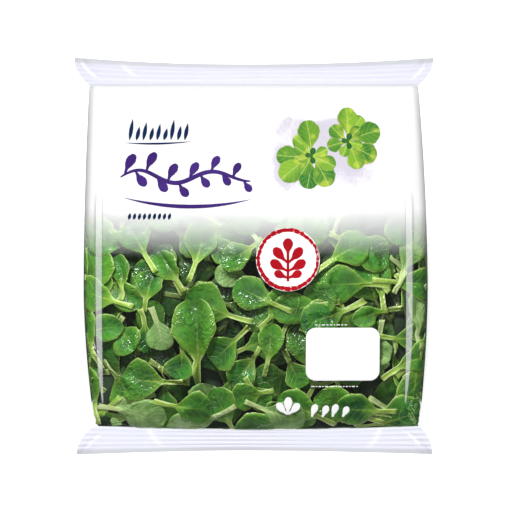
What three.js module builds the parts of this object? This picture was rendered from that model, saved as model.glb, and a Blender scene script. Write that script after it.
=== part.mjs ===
// A sealed pillow bag of lamb's lettuce, lying on its back with the printed face up.
//
// Lengths are in millimetres. +X runs across the bag, +Y runs towards its top seal
// and +Z points up. The origin is on the surface that the bag lies on, under the
// middle of the bag.
//
// The bag is one blown-up tube of film, closed by a ribbed seal at each end and by
// a fin seal along the back. A round paper label is stuck on the front.

import * as THREE from "three";

// The bag's outline, seen from above
const FLAT_WIDTH = 210; // between the outer corners of the top seal
const BAG_LENGTH = 232; // from the top corners to the bottom corners
const WIDEST_AT = -0.2; // where the blown-up body is widest, as a share of its half length
const SIDE = {
  left: { top: 96.2, widest: 99.2, bottom: 93.2, topCorner: FLAT_WIDTH / 2, bottomCorner: 103.8 },
  right: { top: 95.9, widest: 101.2, bottom: 96.6, topCorner: FLAT_WIDTH / 2, bottomCorner: 104.4 },
};
const SIDE_BULGE = 1.7; // power of the curve between a side's widest point and its ends

// The seals: the line where the body starts, and the cut edge
const END = {
  top: { sealLine: 99.6, lineBow: 0.4, edgeSag: 4 },
  bottom: { sealLine: 99.2, lineBow: 2.6, edgeSag: 2.2 },
};
const RIB_COUNT = 4; // crimped ribs along each seal
const RIB_SHARE = 0.78; // share of a seal's depth that the ribs cover
const RIB_HEIGHT = 0.35;
const RIB_START = 0.125; // share of a seal's depth over which the first rib rises
const SEAL_THICKNESS = 0.9;
const SEAL_WAVE = 1.6; // how far the cut edge waves up and down
const SEAL_WAVE_LENGTH = 130;
const CORNER_FLARE = 2.2; // power of the curve that widens a seal towards its cut edge
// The diagonal fold in each seal corner; its place and width are shares of the half width
const CORNER_FOLD = { height: 1.8, atEdge: 0.97, slant: 0.09, halfWidth: 0.025 };

// The pillow's heights above the surface that it lies on
const PILLOW_HEIGHT = 50;
const SEAL_LEVEL = 18; // the seals, which hang clear of the surface
const SIDE_LEVEL = 24; // the bag's sides at the middle of its length
const BACK_DEPTH = 30; // how far the back would hang if nothing lay under it
const FLOOR_BLEND = 2; // the back rounds into its flat spot over this height

// The pillow's curves, as superellipse powers
const ACROSS_POWER = 2.4;
const ALONG_POWER = 2.6;
const ALONG_ROOT = 0.62;

// Shallow lumps where the leaves press the film out
const LUMP_HEIGHT = 0.7;
const LUMP_LENGTH = 46;
const LUMP_WAVES = [{ x: 1, y: 0.6, turn: 0 }, { x: -0.5, y: 1.3, turn: 1 }]; // their two directions
const LUMPS_BELOW = 40; // they fade out round this y, above which the bag holds only air
const LUMP_FADE = 8;

// Puckers where the film is gathered by the seals
const PUCKER_HEIGHT = 0.8;
const PUCKER_LENGTH = 27;
const PUCKER_REACH = 0.16; // share of the body's half length that they fade over
const PUCKER_TURN = 2; // so that the two ends' puckers don't mirror each other

// The fin seal along the back
const FIN_WIDTH = 11;
const FIN_THICKNESS = 0.7;
const FIN_STEP = 0.5; // run of the slope at each of its edges

// The round label
const LABEL_RADIUS = 18.3;
const LABEL_CENTRE = { x: 19.5, y: -2 };
const LABEL_THICKNESS = 0.4;
const LABEL_GAP = 0.3;
const LABEL_RINGS = 5;
const LABEL_SEGMENTS = 40;

// How finely the bag is divided
const COLUMNS = 34;
const BODY_ROWS = 28;
const END_CROWDING = 0.6; // 0 spaces the rows evenly, 1 crowds them at the seals
const SIDE_CROWDING = 0.8; // the same for the columns, at the round sides
const COLUMN_GAP = 0.3; // share of an even column that is kept clear beside the fin's edges
const HEIGHT_PASSES = 6; // enough for the height over a place to settle to a hundredth of a mm

const TAU = Math.PI * 2;
const mix = (a, b, share) => a + (b - a) * share;
const sideOf = (u) => (u < 0 ? SIDE.left : SIDE.right);

// Half width of the body at v, from -1 at the bottom seal line to 1 at the top one.
function bodyHalfWidth(side, v) {
  const end = v >= WIDEST_AT ? side.top : side.bottom;
  const run = v >= WIDEST_AT ? 1 - WIDEST_AT : 1 + WIDEST_AT;
  const share = Math.abs(v - WIDEST_AT) / run;
  return mix(side.widest, end, share ** SIDE_BULGE);
}

// Distance of an end's seal line from the middle of the bag, at u across.
function sealLineAt(end, u) {
  return end.sealLine + end.lineBow * (1 - u * u);
}

// How full the pillow is at v along it: 1 at the middle and 0 at the seals.
function fullness(v) {
  return Math.max(0, 1 - Math.abs(v) ** ALONG_POWER) ** ALONG_ROOT;
}

// How full one cross-section is at u across it: 1 at the middle and 0 at the sides.
function roundness(u) {
  return Math.max(0, 1 - Math.abs(u) ** ACROSS_POWER) ** (1 / ACROSS_POWER);
}

// Small waves in the film, which the seals gather and the full body smooths out.
function puckers(x, u, v) {
  const fromSeal = (1 - Math.abs(v)) / PUCKER_REACH;
  const strength = fromSeal * Math.exp(1 - fromSeal) * (1 - u * u);
  return PUCKER_HEIGHT * strength * Math.sin((TAU * x) / PUCKER_LENGTH + PUCKER_TURN * Math.sign(v));
}

// Lumps over the leaves: two crossed waves, faded out at the sides and the seals.
function lumps(x, y, crown) {
  const phase = TAU / LUMP_LENGTH;
  const heights = LUMP_WAVES.map((wave) => Math.sin(phase * (wave.x * x + wave.y * y) + wave.turn));
  const held = 1 / (1 + Math.exp((y - LUMPS_BELOW) / LUMP_FADE));
  return LUMP_HEIGHT * (heights[0] + heights[1]) * crown * held;
}

// The back lies flat where it would reach below the surface, and rounds into that.
function settled(z) {
  if (z <= -FLOOR_BLEND) return 0;
  if (z >= FLOOR_BLEND) return z;
  return (z + FLOOR_BLEND) ** 2 / (4 * FLOOR_BLEND);
}

// Share of the fin seal's thickness at x: 1 on the fin, sloping to 0 past its edges.
function finShare(x) {
  const outside = Math.max(0, -x, x - FIN_WIDTH);
  return Math.max(0, 1 - outside / FIN_STEP);
}

// A point of the blown-up body, on its front or its back.
function bodyPoint(u, v, isFront) {
  const x = u * bodyHalfWidth(sideOf(u), v);
  const y = v * sealLineAt(v < 0 ? END.bottom : END.top, u);
  const full = fullness(v);
  const level = mix(SEAL_LEVEL, SIDE_LEVEL, full);
  const crown = full * roundness(u);
  if (isFront) {
    const rise = PILLOW_HEIGHT - SEAL_THICKNESS / 2 - SIDE_LEVEL - LUMP_HEIGHT;
    const relief = puckers(x, u, v) + lumps(x, y, crown);
    return new THREE.Vector3(x, y, level + SEAL_THICKNESS / 2 + rise * crown + relief);
  }
  const hang = level - SEAL_THICKNESS / 2 - BACK_DEPTH * crown;
  return new THREE.Vector3(x, y, settled(hang - FIN_THICKNESS * finShare(x)));
}

// A point of a seal. s runs from 0 at the seal line to 1 at the cut edge, and rib is
// 1 on a crest, -1 in a groove and 0 on the plain margin.
function sealPoint(endName, u, s, rib, isFront) {
  const end = END[endName];
  const sign = endName === "top" ? 1 : -1;
  const side = sideOf(u);
  const corner = side[`${endName}Corner`];
  const flare = 1 - (1 - s) ** CORNER_FLARE;
  const x = u * mix(side[endName], corner, flare);
  const cutEdge = BAG_LENGTH / 2 - end.edgeSag * (1 - u * u);
  const y = sign * mix(sealLineAt(end, u), cutEdge, s);
  const wave = SEAL_WAVE * s * Math.sin((TAU * x) / SEAL_WAVE_LENGTH + sign);
  const foldAt = CORNER_FOLD.atEdge - CORNER_FOLD.slant * (1 - s);
  const fromFold = (Math.abs(u) - foldAt) / CORNER_FOLD.halfWidth;
  const fold = CORNER_FOLD.height * s * Math.exp(-(fromFold ** 2));
  const face = (isFront ? 1 : -1) * (SEAL_THICKNESS / 2);
  const z = SEAL_LEVEL + wave - fold + face + RIB_HEIGHT * rib * Math.min(1, s / RIB_START);
  return new THREE.Vector3(x, y, z);
}

// The rows of a seal, from its line outwards: ribs first, then the plain margin.
function sealRows(endName) {
  const steps = 2 * RIB_COUNT;
  const rows = [];
  for (let k = 1; k <= steps; k += 1) {
    rows.push({ s: (RIB_SHARE * k) / steps, rib: k % 2 === 1 ? 1 : -1 });
  }
  rows.push({ s: 1, rib: 0 });
  return rows.map(({ s, rib }) => (u, isFront) => sealPoint(endName, u, s, rib, isFront));
}

// Even steps from -1 to 1, crowded towards both ends by a share of a sine curve.
function crowdedSteps(count, crowding) {
  return Array.from({ length: count + 1 }, (_, k) => {
    const even = (2 * k) / count - 1;
    return mix(even, Math.sin((even * Math.PI) / 2), crowding);
  });
}

// The rows of the body, from the bottom seal line to the top one.
function bodyRows() {
  const along = crowdedSteps(BODY_ROWS, END_CROWDING);
  return along.map((v) => (u, isFront) => bodyPoint(u, v, isFront));
}

// Positions across the bag: crowded towards the round sides, with the fin's edges.
function columnPositions() {
  const middle = (SIDE.right.widest + SIDE.right.top) / 2;
  const finEdges = [-FIN_STEP, 0, FIN_WIDTH, FIN_WIDTH + FIN_STEP].map((x) => x / middle);
  const near = COLUMN_GAP * (2 / COLUMNS);
  const regular = crowdedSteps(COLUMNS, SIDE_CROWDING);
  const kept = regular.filter((u) => finEdges.every((edge) => Math.abs(u - edge) > near));
  return [...kept, ...finEdges].sort((a, b) => a - b);
}

// A closed solid between a front and a back grid of points with the same rows.
function solidFromGrids(front, back) {
  const rows = front.length;
  const columns = front[0].length;
  const positions = [...front.flat(), ...back.flat()].flatMap((p) => p.toArray());
  const frontAt = (j, i) => j * columns + i;
  const backAt = (j, i) => rows * columns + j * columns + i;
  const triangles = [];
  const quad = (a, b, c, d) => triangles.push(a, b, c, a, c, d);
  for (let j = 0; j < rows - 1; j += 1) {
    for (let i = 0; i < columns - 1; i += 1) {
      quad(frontAt(j, i), frontAt(j, i + 1), frontAt(j + 1, i + 1), frontAt(j + 1, i));
      quad(backAt(j, i), backAt(j + 1, i), backAt(j + 1, i + 1), backAt(j, i + 1));
    }
    const last = columns - 1;
    quad(frontAt(j, 0), frontAt(j + 1, 0), backAt(j + 1, 0), backAt(j, 0));
    quad(frontAt(j, last), backAt(j, last), backAt(j + 1, last), frontAt(j + 1, last));
  }
  for (let i = 0; i < columns - 1; i += 1) {
    const last = rows - 1;
    quad(frontAt(0, i), backAt(0, i), backAt(0, i + 1), frontAt(0, i + 1));
    quad(frontAt(last, i), frontAt(last, i + 1), backAt(last, i + 1), backAt(last, i));
  }
  const geometry = new THREE.BufferGeometry();
  geometry.setAttribute("position", new THREE.Float32BufferAttribute(positions, 3));
  geometry.setIndex(triangles);
  geometry.computeVertexNormals();
  return geometry;
}

function bagGeometry() {
  const across = columnPositions();
  const rows = [...sealRows("bottom").reverse(), ...bodyRows(), ...sealRows("top")];
  const grid = (isFront) => rows.map((row) => across.map((u) => row(u, isFront)));
  return solidFromGrids(grid(true), grid(false));
}

// Height of the front film over a point of the body.
function frontHeight(x, y) {
  let u = 0;
  let v = 0;
  for (let pass = 0; pass < HEIGHT_PASSES; pass += 1) {
    v = y / sealLineAt(y < 0 ? END.bottom : END.top, u);
    u = x / bodyHalfWidth(sideOf(x), v);
  }
  return bodyPoint(u, v, true).z;
}

// The label is a disc that follows the film under it: rings of points round a middle.
function labelGeometry() {
  const levels = [LABEL_GAP, LABEL_GAP + LABEL_THICKNESS];
  const perLevel = 1 + LABEL_RINGS * LABEL_SEGMENTS;
  const positions = [];
  for (const lift of levels) {
    for (let n = 0; n < perLevel; n += 1) {
      const ring = n === 0 ? 0 : Math.ceil(n / LABEL_SEGMENTS);
      const angle = (TAU * (n - 1)) / LABEL_SEGMENTS;
      const radius = (LABEL_RADIUS * ring) / LABEL_RINGS;
      const x = LABEL_CENTRE.x + radius * Math.cos(angle);
      const y = LABEL_CENTRE.y + radius * Math.sin(angle);
      positions.push(x, y, frontHeight(x, y) + lift);
    }
  }
  const at = (level, ring, k) => {
    if (ring === 0) return level * perLevel;
    return level * perLevel + 1 + (ring - 1) * LABEL_SEGMENTS + (k % LABEL_SEGMENTS);
  };
  const triangles = [];
  for (let k = 0; k < LABEL_SEGMENTS; k += 1) {
    triangles.push(at(1, 0, 0), at(1, 1, k), at(1, 1, k + 1));
    triangles.push(at(0, 0, 0), at(0, 1, k + 1), at(0, 1, k));
    for (let ring = 1; ring < LABEL_RINGS; ring += 1) {
      const [a, b] = [at(1, ring, k), at(1, ring, k + 1)];
      const [c, d] = [at(1, ring + 1, k + 1), at(1, ring + 1, k)];
      triangles.push(a, d, c, a, c, b);
      const [e, f] = [at(0, ring, k), at(0, ring, k + 1)];
      const [g, h] = [at(0, ring + 1, k + 1), at(0, ring + 1, k)];
      triangles.push(e, f, g, e, g, h);
    }
    const [p, q] = [at(1, LABEL_RINGS, k), at(1, LABEL_RINGS, k + 1)];
    const [r, s] = [at(0, LABEL_RINGS, k + 1), at(0, LABEL_RINGS, k)];
    triangles.push(p, s, r, p, r, q);
  }
  const geometry = new THREE.BufferGeometry();
  geometry.setAttribute("position", new THREE.Float32BufferAttribute(positions, 3));
  geometry.setIndex(triangles);
  geometry.computeVertexNormals();
  return geometry;
}

function namedMesh(name, geometry, colour, roughness) {
  const material = new THREE.MeshStandardMaterial({ color: colour, roughness, metalness: 0 });
  const mesh = new THREE.Mesh(geometry, material);
  mesh.name = name;
  return mesh;
}

const saladBag = new THREE.Group();
saladBag.add(namedMesh("salad_bag", bagGeometry(), 0x6a8c50, 0.25));
saladBag.add(namedMesh("round_label", labelGeometry(), 0xfdfdfd, 0.4));

export default saladBag;
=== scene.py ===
# %% [markdown]
# # A bag of lamb's lettuce
#
# The real object is a pillow bag: one tube of clear polypropylene film, closed by a
# ribbed seal at each end and by a fin seal along the back, and filled with loose
# leaves. White ink covers the upper part of the film and fades out over the leaves.
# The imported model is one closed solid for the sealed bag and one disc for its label.
# This script puts real film, leaves, ink and paper in their place.

# %% The frame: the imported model, its box and its one body
import math
from collections import namedtuple

import bpy
import numpy as np
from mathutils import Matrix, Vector


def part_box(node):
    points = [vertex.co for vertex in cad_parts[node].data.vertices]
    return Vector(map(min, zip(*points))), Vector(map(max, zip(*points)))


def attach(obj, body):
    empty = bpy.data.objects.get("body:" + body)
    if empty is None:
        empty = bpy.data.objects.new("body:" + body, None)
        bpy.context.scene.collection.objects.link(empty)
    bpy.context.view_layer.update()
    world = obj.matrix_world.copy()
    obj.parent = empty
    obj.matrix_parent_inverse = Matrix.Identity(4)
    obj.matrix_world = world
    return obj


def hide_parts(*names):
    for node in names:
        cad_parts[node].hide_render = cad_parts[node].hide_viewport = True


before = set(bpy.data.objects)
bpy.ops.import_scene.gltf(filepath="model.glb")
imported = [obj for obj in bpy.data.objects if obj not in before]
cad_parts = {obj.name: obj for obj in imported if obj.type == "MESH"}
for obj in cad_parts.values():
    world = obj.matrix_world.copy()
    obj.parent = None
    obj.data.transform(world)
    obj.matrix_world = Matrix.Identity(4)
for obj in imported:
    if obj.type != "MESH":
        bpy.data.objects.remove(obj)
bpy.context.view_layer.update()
BODY = "root"
MM = 0.001
bag_low, bag_high = (np.array(corner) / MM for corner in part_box("salad_bag"))
label_low, label_high = (np.array(corner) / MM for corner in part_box("round_label"))
BAG_LENGTH = bag_high[1] - bag_low[1]
print(f"bag {bag_high - bag_low} mm, label {label_high - label_low} mm")

# %% [markdown]
# ## Helpers
#
# Every shape below is a function of two parameters on a grid. `closed_sheet` joins an
# upper and a lower grid into one thin closed solid, and `new_piece` turns arrays of
# points into an object. The colours are written as sRGB hex values, because that is
# how a colour is read off a photograph, and one function turns them to linear light.

# %% Grids, meshes and colours
Surface = namedtuple("Surface", "points quads")
dressed = []  # every piece that this script adds


def mix(a, b, share):
    """a where share is 0, b where it is 1, and a straight blend between."""
    return a + (b - a) * share


def soft_step(x, low, high):
    """0 below low, 1 above high, and the smooth cubic 3t^2 - 2t^3 between."""
    t = np.clip((x - low) / (high - low), 0, 1)
    return t * t * (3 - 2 * t)


def grid_quads(rows, columns, start=0):
    """The four corner numbers of each cell of a grid whose points are stored row by row."""
    j, i = np.mgrid[0:rows - 1, 0:columns - 1]
    corner = start + j * columns + i
    cells = np.stack([corner, corner + 1, corner + columns + 1, corner + columns], axis=-1)
    return cells.reshape(-1, 4)


def closed_sheet(upper, lower):
    """A closed solid between two (rows, columns, 3) grids: both faces and a wall round them."""
    rows, columns = upper.shape[:2]
    under = rows * columns
    top = grid_quads(rows, columns)
    bottom = grid_quads(rows, columns, under)[:, ::-1]
    rim = np.concatenate([
        np.arange(columns - 1),
        np.arange(rows - 1) * columns + columns - 1,
        np.arange(columns - 1, 0, -1) + (rows - 1) * columns,
        np.arange(rows - 1, 0, -1) * columns,
    ])
    onward = np.roll(rim, -1)
    wall = np.stack([rim, rim + under, onward + under, onward], axis=1)
    points = np.concatenate([upper.reshape(-1, 3), lower.reshape(-1, 3)])
    return Surface(points, np.concatenate([top, bottom, wall]))


def joined(surfaces):
    """Several surfaces as one, with the corner numbers of each moved past the ones before."""
    starts = np.cumsum([0] + [len(s.points) for s in surfaces[:-1]])
    quads = [s.quads + start for s, start in zip(surfaces, starts)]
    return Surface(np.concatenate([s.points for s in surfaces]), np.concatenate(quads))


def new_piece(name, surface, materials, attributes=None, replaces=None):
    """An object whose mesh is the surface, in mm, riding on the bag's one body."""
    mesh = bpy.data.meshes.new(name)
    mesh.from_pydata((surface.points * MM).tolist(), [], surface.quads.tolist())
    mesh.validate()
    mesh.shade_smooth()
    for key, values in (attributes or {}).items():
        layer = mesh.attributes.new(key, "FLOAT", "POINT")
        layer.data.foreach_set("value", np.asarray(values, np.float32).ravel())
    for material in materials:
        mesh.materials.append(material)
    piece = bpy.data.objects.new(name, mesh)
    bpy.context.scene.collection.objects.link(piece)
    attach(piece, BODY)
    if replaces:
        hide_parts(replaces)
    print(f"{name}: {len(mesh.vertices)} points, {2 * len(mesh.polygons)} triangles")
    dressed.append(piece)
    return piece


def colour(code):
    """An sRGB hex code as linear red, green and blue, by the standard's own curve, and an alpha of 1."""
    parts = [int(code[k:k + 2], 16) / 255 for k in (1, 3, 5)]
    return [((c + 0.055) / 1.055) ** 2.4 if c > 0.04045 else c / 12.92 for c in parts] + [1.0]


def add(owner, kind, inputs=None, **settings):
    """Adds a node to a material or a world. inputs maps a socket's name or number to a value or to
    another node's output."""
    node = owner.node_tree.nodes.new(kind)
    for key, value in settings.items():
        setattr(node, key, value)
    for key, value in (inputs or {}).items():
        if isinstance(value, bpy.types.NodeSocket):
            owner.node_tree.links.new(value, node.inputs[key])
        else:
            node.inputs[key].default_value = value
    return node


def new_material(name):
    """An empty node material."""
    material = bpy.data.materials.new(name)
    material.use_nodes = True
    material.node_tree.nodes.clear()
    return material


def finished(material, shader):
    """The material, with this shader node linked to its output."""
    add(material, "ShaderNodeOutputMaterial", {"Surface": shader.outputs[0]})
    return material


def ranged(material, value, low, high, to_low=0.0, to_high=1.0):
    """value's share between low and high, smoothed, as an output from to_low to to_high."""
    return add(material, "ShaderNodeMapRange", {
        0: value, 1: low, 2: high, 3: to_low, 4: to_high}, interpolation_type="SMOOTHSTEP").outputs[0]


def maths(material, operation, a, b=0.5):
    """The output of one sum on two values or outputs. ABSOLUTE needs the first one only."""
    return add(material, "ShaderNodeMath", {0: a, 1: b}, operation=operation).outputs[0]


def blended(material, share, a, b):
    """Colour a where share is 0 and b where it is 1."""
    return add(material, "ShaderNodeMix", {0: share, 6: a, 7: b}, data_type="RGBA").outputs[2]


def layered(material, base, layers):
    """A colour with layers over it: each layer is the share that it covers and its hex code."""
    for share, code in layers:
        base = blended(material, share, base, colour(code))
    return base


def mixed(material, share, first, second):
    """The first shader where share is 0, and the second where it is 1."""
    return add(material, "ShaderNodeMixShader", {0: share, 1: first.outputs[0], 2: second.outputs[0]})


def attribute(material, name):
    """The output of one of a piece's own point attributes."""
    return add(material, "ShaderNodeAttribute", attribute_name=name).outputs["Fac"]


def noise(material, scale, detail):
    """Soft random values round 0.5, with about this many lumps to the metre."""
    place = add(material, "ShaderNodeTexCoord").outputs["Object"]
    lumps = add(material, "ShaderNodeTexNoise", {"Vector": place, "Scale": scale, "Detail": detail})
    return lumps.outputs[0]


# %% [markdown]
# ## Camera
#
# The photograph was taken square on to the front of the bag, from far enough away that
# its edges run parallel. The bag lies on its back here, so a long lens looks straight
# down on it, with the top of the picture towards +Y.

# %% Camera
PHOTO_PIXELS = 512
PIXEL = 0.5833  # millimetres for each pixel of the photograph, at the bag's outline
PHOTO_CENTRE = (254, 256)  # the pixel that the bag's own origin falls on
OUTLINE_LEVEL = 22  # height of the bag's outline above the floor
PRINT_LEVEL = 46.0  # height of most of the front, where its marks and leaves show
LENS = 200
SENSOR = 36

view_width = PHOTO_PIXELS * PIXEL
camera_height = OUTLINE_LEVEL + view_width * LENS / SENSOR
camera_data = bpy.data.cameras.new("camera")
camera_data.lens = LENS
camera_data.sensor_width = SENSOR
camera_data.clip_end = 20
camera = bpy.data.objects.new("camera", camera_data)
camera.location = Vector(((PHOTO_PIXELS / 2 - PHOTO_CENTRE[0]) * PIXEL, 0, camera_height)) * MM
bpy.context.scene.collection.objects.link(camera)
bpy.context.scene.camera = camera


def from_photo(px, py):
    """The place on the bag's front, in mm, that shows at a pixel of the photograph."""
    scale = PIXEL * (camera_height - PRINT_LEVEL) / (camera_height - OUTLINE_LEVEL)
    centre = (PHOTO_PIXELS / 2 - PHOTO_CENTRE[0]) * PIXEL
    x = centre + (px - PHOTO_PIXELS / 2) * scale
    return np.stack([x, (PHOTO_PIXELS / 2 - py) * scale], axis=-1)


print(f"camera {camera_height:.0f} mm above the floor, {view_width:.1f} mm across the view")

# %% [markdown]
# ## The form of the bag
#
# A sealed tube of film blown up with air takes the form of a pillow. Two shares place a
# point on it: u runs from -1 at the left side to 1 at the right, and v from -1 at the
# bottom seal line to 1 at the top one. The outline's half width changes with v, and the
# height is a flattened oval both across and along the bag, a superellipse. These are
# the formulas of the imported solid, worked out on a finer grid.

# %% Driving dimensions of the form, in mm
WIDEST_AT = -0.2  # v where the bag is widest
LEFT = {"top": 96.2, "widest": 99.2, "bottom": 93.2, "top_corner": 105, "bottom_corner": 103.8}
RIGHT = {"top": 95.9, "widest": 101.2, "bottom": 96.6, "top_corner": 105, "bottom_corner": 104.4}
SIDE_BULGE = 1.7  # power by which it narrows from there towards each end
SEAL_LINE = {"top": 99.6, "bottom": 99.2}
LINE_BOW = {"top": 0.4, "bottom": 2.6}  # how much farther out a seal line is at the middle
EDGE_SAG = {"top": 4, "bottom": 2.2}  # how much farther in a cut edge is at the middle
RIB_COUNT = 4
RIB_SHARE = 0.78  # share of a seal's depth that is ribbed, the rest is its plain margin
RIB_HEIGHT = 0.35
SEAL_THICKNESS = 0.9
SEAL_WAVE = 1.6  # how high the cut edge waves
SEAL_WAVE_LENGTH = 130
CORNER_FOLD = 1.8  # how far a folded corner hangs down
PILLOW_HEIGHT = 50
SEAL_LEVEL = 18  # height of the middle of a seal's thickness
SIDE_LEVEL = 24  # height of the bag's sides at the middle of its length
BACK_DEPTH = 30  # how far the back would hang below the sides with no floor under it
FLOOR_BLEND = 2  # height below which the back rounds off into its flat spot
ACROSS_POWER = 2.4  # powers of the flattened oval, across and along the bag
ALONG_POWER = 2.6
ALONG_ROOT = 0.62  # power to which the oval along the bag is raised
LUMP_HEIGHT = 0.7
LUMP_LENGTH = 46
LUMP_WAVES = ((1, 0.6, 0), (-0.5, 1.3, 1))  # turns of each wave across and along, and its start
LUMPS_BELOW = 40  # y where the lumps over the leaves have faded by half
LUMP_FADE = 8
PUCKER_HEIGHT = 0.8
PUCKER_LENGTH = 27
PUCKER_REACH = 0.16  # share of the half length from a seal to the highest puckers
PUCKER_TURN = 2  # radians that the puckers are shifted by, one way at the top, the other below
FIN_WIDTH = 11
FIN_THICKNESS = 0.7
FIN_STEP = 0.5
RIB_START = 0.125  # share of a seal's depth over which its ribs rise to their height
CORNER_FLARE = 2.2  # power by which a seal widens to its cut edge
FOLD_AT_EDGE = 0.97  # u of a corner's fold at the cut edge, and how much less it is at the line
FOLD_SLANT = 0.09
FOLD_HALF_WIDTH = 0.025  # in u too

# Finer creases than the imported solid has, where the seals gather the film
GATHER_HEIGHT = 0.22
GATHER_LENGTH = 8.5
GATHER_REACH = 0.09
GATHER_DRIFT = 11.0  # mm over which the gathers' spacing wanders

# A taut strip runs down each side of the front, and the film is flat across it
STRIP_INNER = 87.7  # from the bag's middle line to the strip's inner edge
STRIP_WIDTH = 4.2
STRIP_SLOPES = (0.54, 0.47)  # the film's slope across the left and the right strip
STRIP_TAPER = (-86.0, -46.0)  # y of its pointed lower end, and where it starts to narrow
STRIP_POINT = 0.6  # power of its width from the point up, so that its edges bow out
STRIP_TOP = (26.0, 40.0)  # it fades into the pillow between these
STRIP_BLEND = 0.8
STRIP_DROP = 0.05  # how much steeper the film is beside the strip than on it, at the least
STRIP_END = (5.0, 4.0)  # it fades in between these distances below and above its pointed end
STRIP_SHINE = 10.0  # times the shine of the rest, for a weaker light and so a cleaner reflection
STRIP_MIRROR = 0.45  # the most that a strip mirrors, where the view of it is steep
STEEP_FRESNEL = (0.05, 0.09)  # its extra shine is gone between the views that mirror these shares
STRIP_FOOT = (-84.0, -87.0)  # the film round its pointed end loses its shine between these
CALM_WIDTH = 11.0  # the film is drawn smooth over this width beside the strip
NEAREST_SIDE = 0.99  # share of the half width that a strip's middle never passes
SLOPE_STEP = 0.01  # share of the bag's half length to each side, where a strip's slope is measured


# %% The formulas of the form
def side_value(u, key):
    """A side's dimension: the left one where u is negative, the right one elsewhere."""
    return np.where(u < 0, LEFT[key], RIGHT[key])


def half_width(u, v):
    """Widest a little below the middle, and narrower towards both ends by a power curve."""
    upper = v >= WIDEST_AT
    end = np.where(upper, side_value(u, "top"), side_value(u, "bottom"))
    run = np.where(upper, 1 - WIDEST_AT, 1 + WIDEST_AT)
    return mix(side_value(u, "widest"), end, (np.abs(v - WIDEST_AT) / run) ** SIDE_BULGE)


def seal_line(u, is_top):
    """Distance of a seal line from the middle: it bows outwards as 1 - u^2."""
    line = np.where(is_top, SEAL_LINE["top"], SEAL_LINE["bottom"])
    return line + np.where(is_top, LINE_BOW["top"], LINE_BOW["bottom"]) * (1 - u * u)


def fullness(v):
    """(1 - |v|^p)^r: 1 at the middle of the bag's length and 0 at its seals."""
    return np.maximum(0, 1 - np.abs(v) ** ALONG_POWER) ** ALONG_ROOT


def roundness(u):
    """(1 - |u|^p)^(1/p): 1 at the middle of a cross-section and 0 at its sides."""
    return np.maximum(0, 1 - np.abs(u) ** ACROSS_POWER) ** (1 / ACROSS_POWER)


def near_seal(v, reach):
    """A hump f e^(1-f), where f is the distance from the nearest seal over reach."""
    f = (1 - np.abs(v)) / reach
    return f * np.exp(1 - f)


def towards_strip(x):
    """0 where the film is free, rising to 1 at a strip's inner edge and past it."""
    return soft_step(np.abs(x), STRIP_INNER - CALM_WIDTH, STRIP_INNER - STRIP_BLEND)


def relief(x, y, u, v):
    """Lumps over the leaves, wide puckers at the seals and fine gathers right beside them. All of
    it dies away beside the taut strips, so that their edges stay straight."""
    phase = math.tau / LUMP_LENGTH
    waves = sum(np.sin(phase * (across * x + along * y) + start) for across, along, start in LUMP_WAVES)
    lumps = LUMP_HEIGHT * waves * fullness(v) * roundness(u)
    lumps = lumps / (1 + np.exp((y - LUMPS_BELOW) / LUMP_FADE))
    turn = PUCKER_TURN * np.sign(v)
    pucker = PUCKER_HEIGHT * near_seal(v, PUCKER_REACH) * np.sin(math.tau * x / PUCKER_LENGTH + turn)
    drift = np.sin(x / GATHER_DRIFT)
    gather = GATHER_HEIGHT * near_seal(v, GATHER_REACH) * np.sin(math.tau * x / GATHER_LENGTH + drift)
    return (lumps + (pucker + gather) * (1 - u * u)) * (1 - towards_strip(x))


def pillow_height(u, v):
    """Height of the smooth front: from the seals' level up by a flattened oval both ways."""
    full = fullness(v)
    rise = PILLOW_HEIGHT - SEAL_THICKNESS / 2 - SIDE_LEVEL - LUMP_HEIGHT
    return mix(SEAL_LEVEL, SIDE_LEVEL, full) + SEAL_THICKNESS / 2 + rise * full * roundness(u)


def strip_edges(y, narrowest=0.0):
    """Distances of a strip's middle and its outer edge from the bag's middle line. Its width is the
    way up from its point, as a share of the taper, to the power STRIP_POINT."""
    share = np.clip((y - STRIP_TAPER[0]) / (STRIP_TAPER[1] - STRIP_TAPER[0]), 0, 1) ** STRIP_POINT
    outer = STRIP_INNER + STRIP_WIDTH * np.maximum(share, narrowest)
    return (STRIP_INNER + outer) / 2, outer


def strip_middle(side, v):
    """Height of the pillow along the middle of a strip, and how far out that middle is."""
    middle = strip_edges(v * SEAL_LINE["bottom"])[0]
    share = np.minimum(middle / half_width(side, v), NEAREST_SIDE)
    return pillow_height(side * share, v), middle


def strip_window(x, y):
    """1 on a strip, from its faded top to its point, and 0 past its edges."""
    outer = strip_edges(y)[1]
    past_inner = soft_step(np.abs(x), STRIP_INNER - STRIP_BLEND, STRIP_INNER)
    past_outer = soft_step(np.abs(x), outer, outer + STRIP_BLEND)
    up = soft_step(y, STRIP_TAPER[0], STRIP_TAPER[0] + 1) * (1 - soft_step(y, *STRIP_TOP))
    return past_inner * (1 - past_outer) * up


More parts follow.
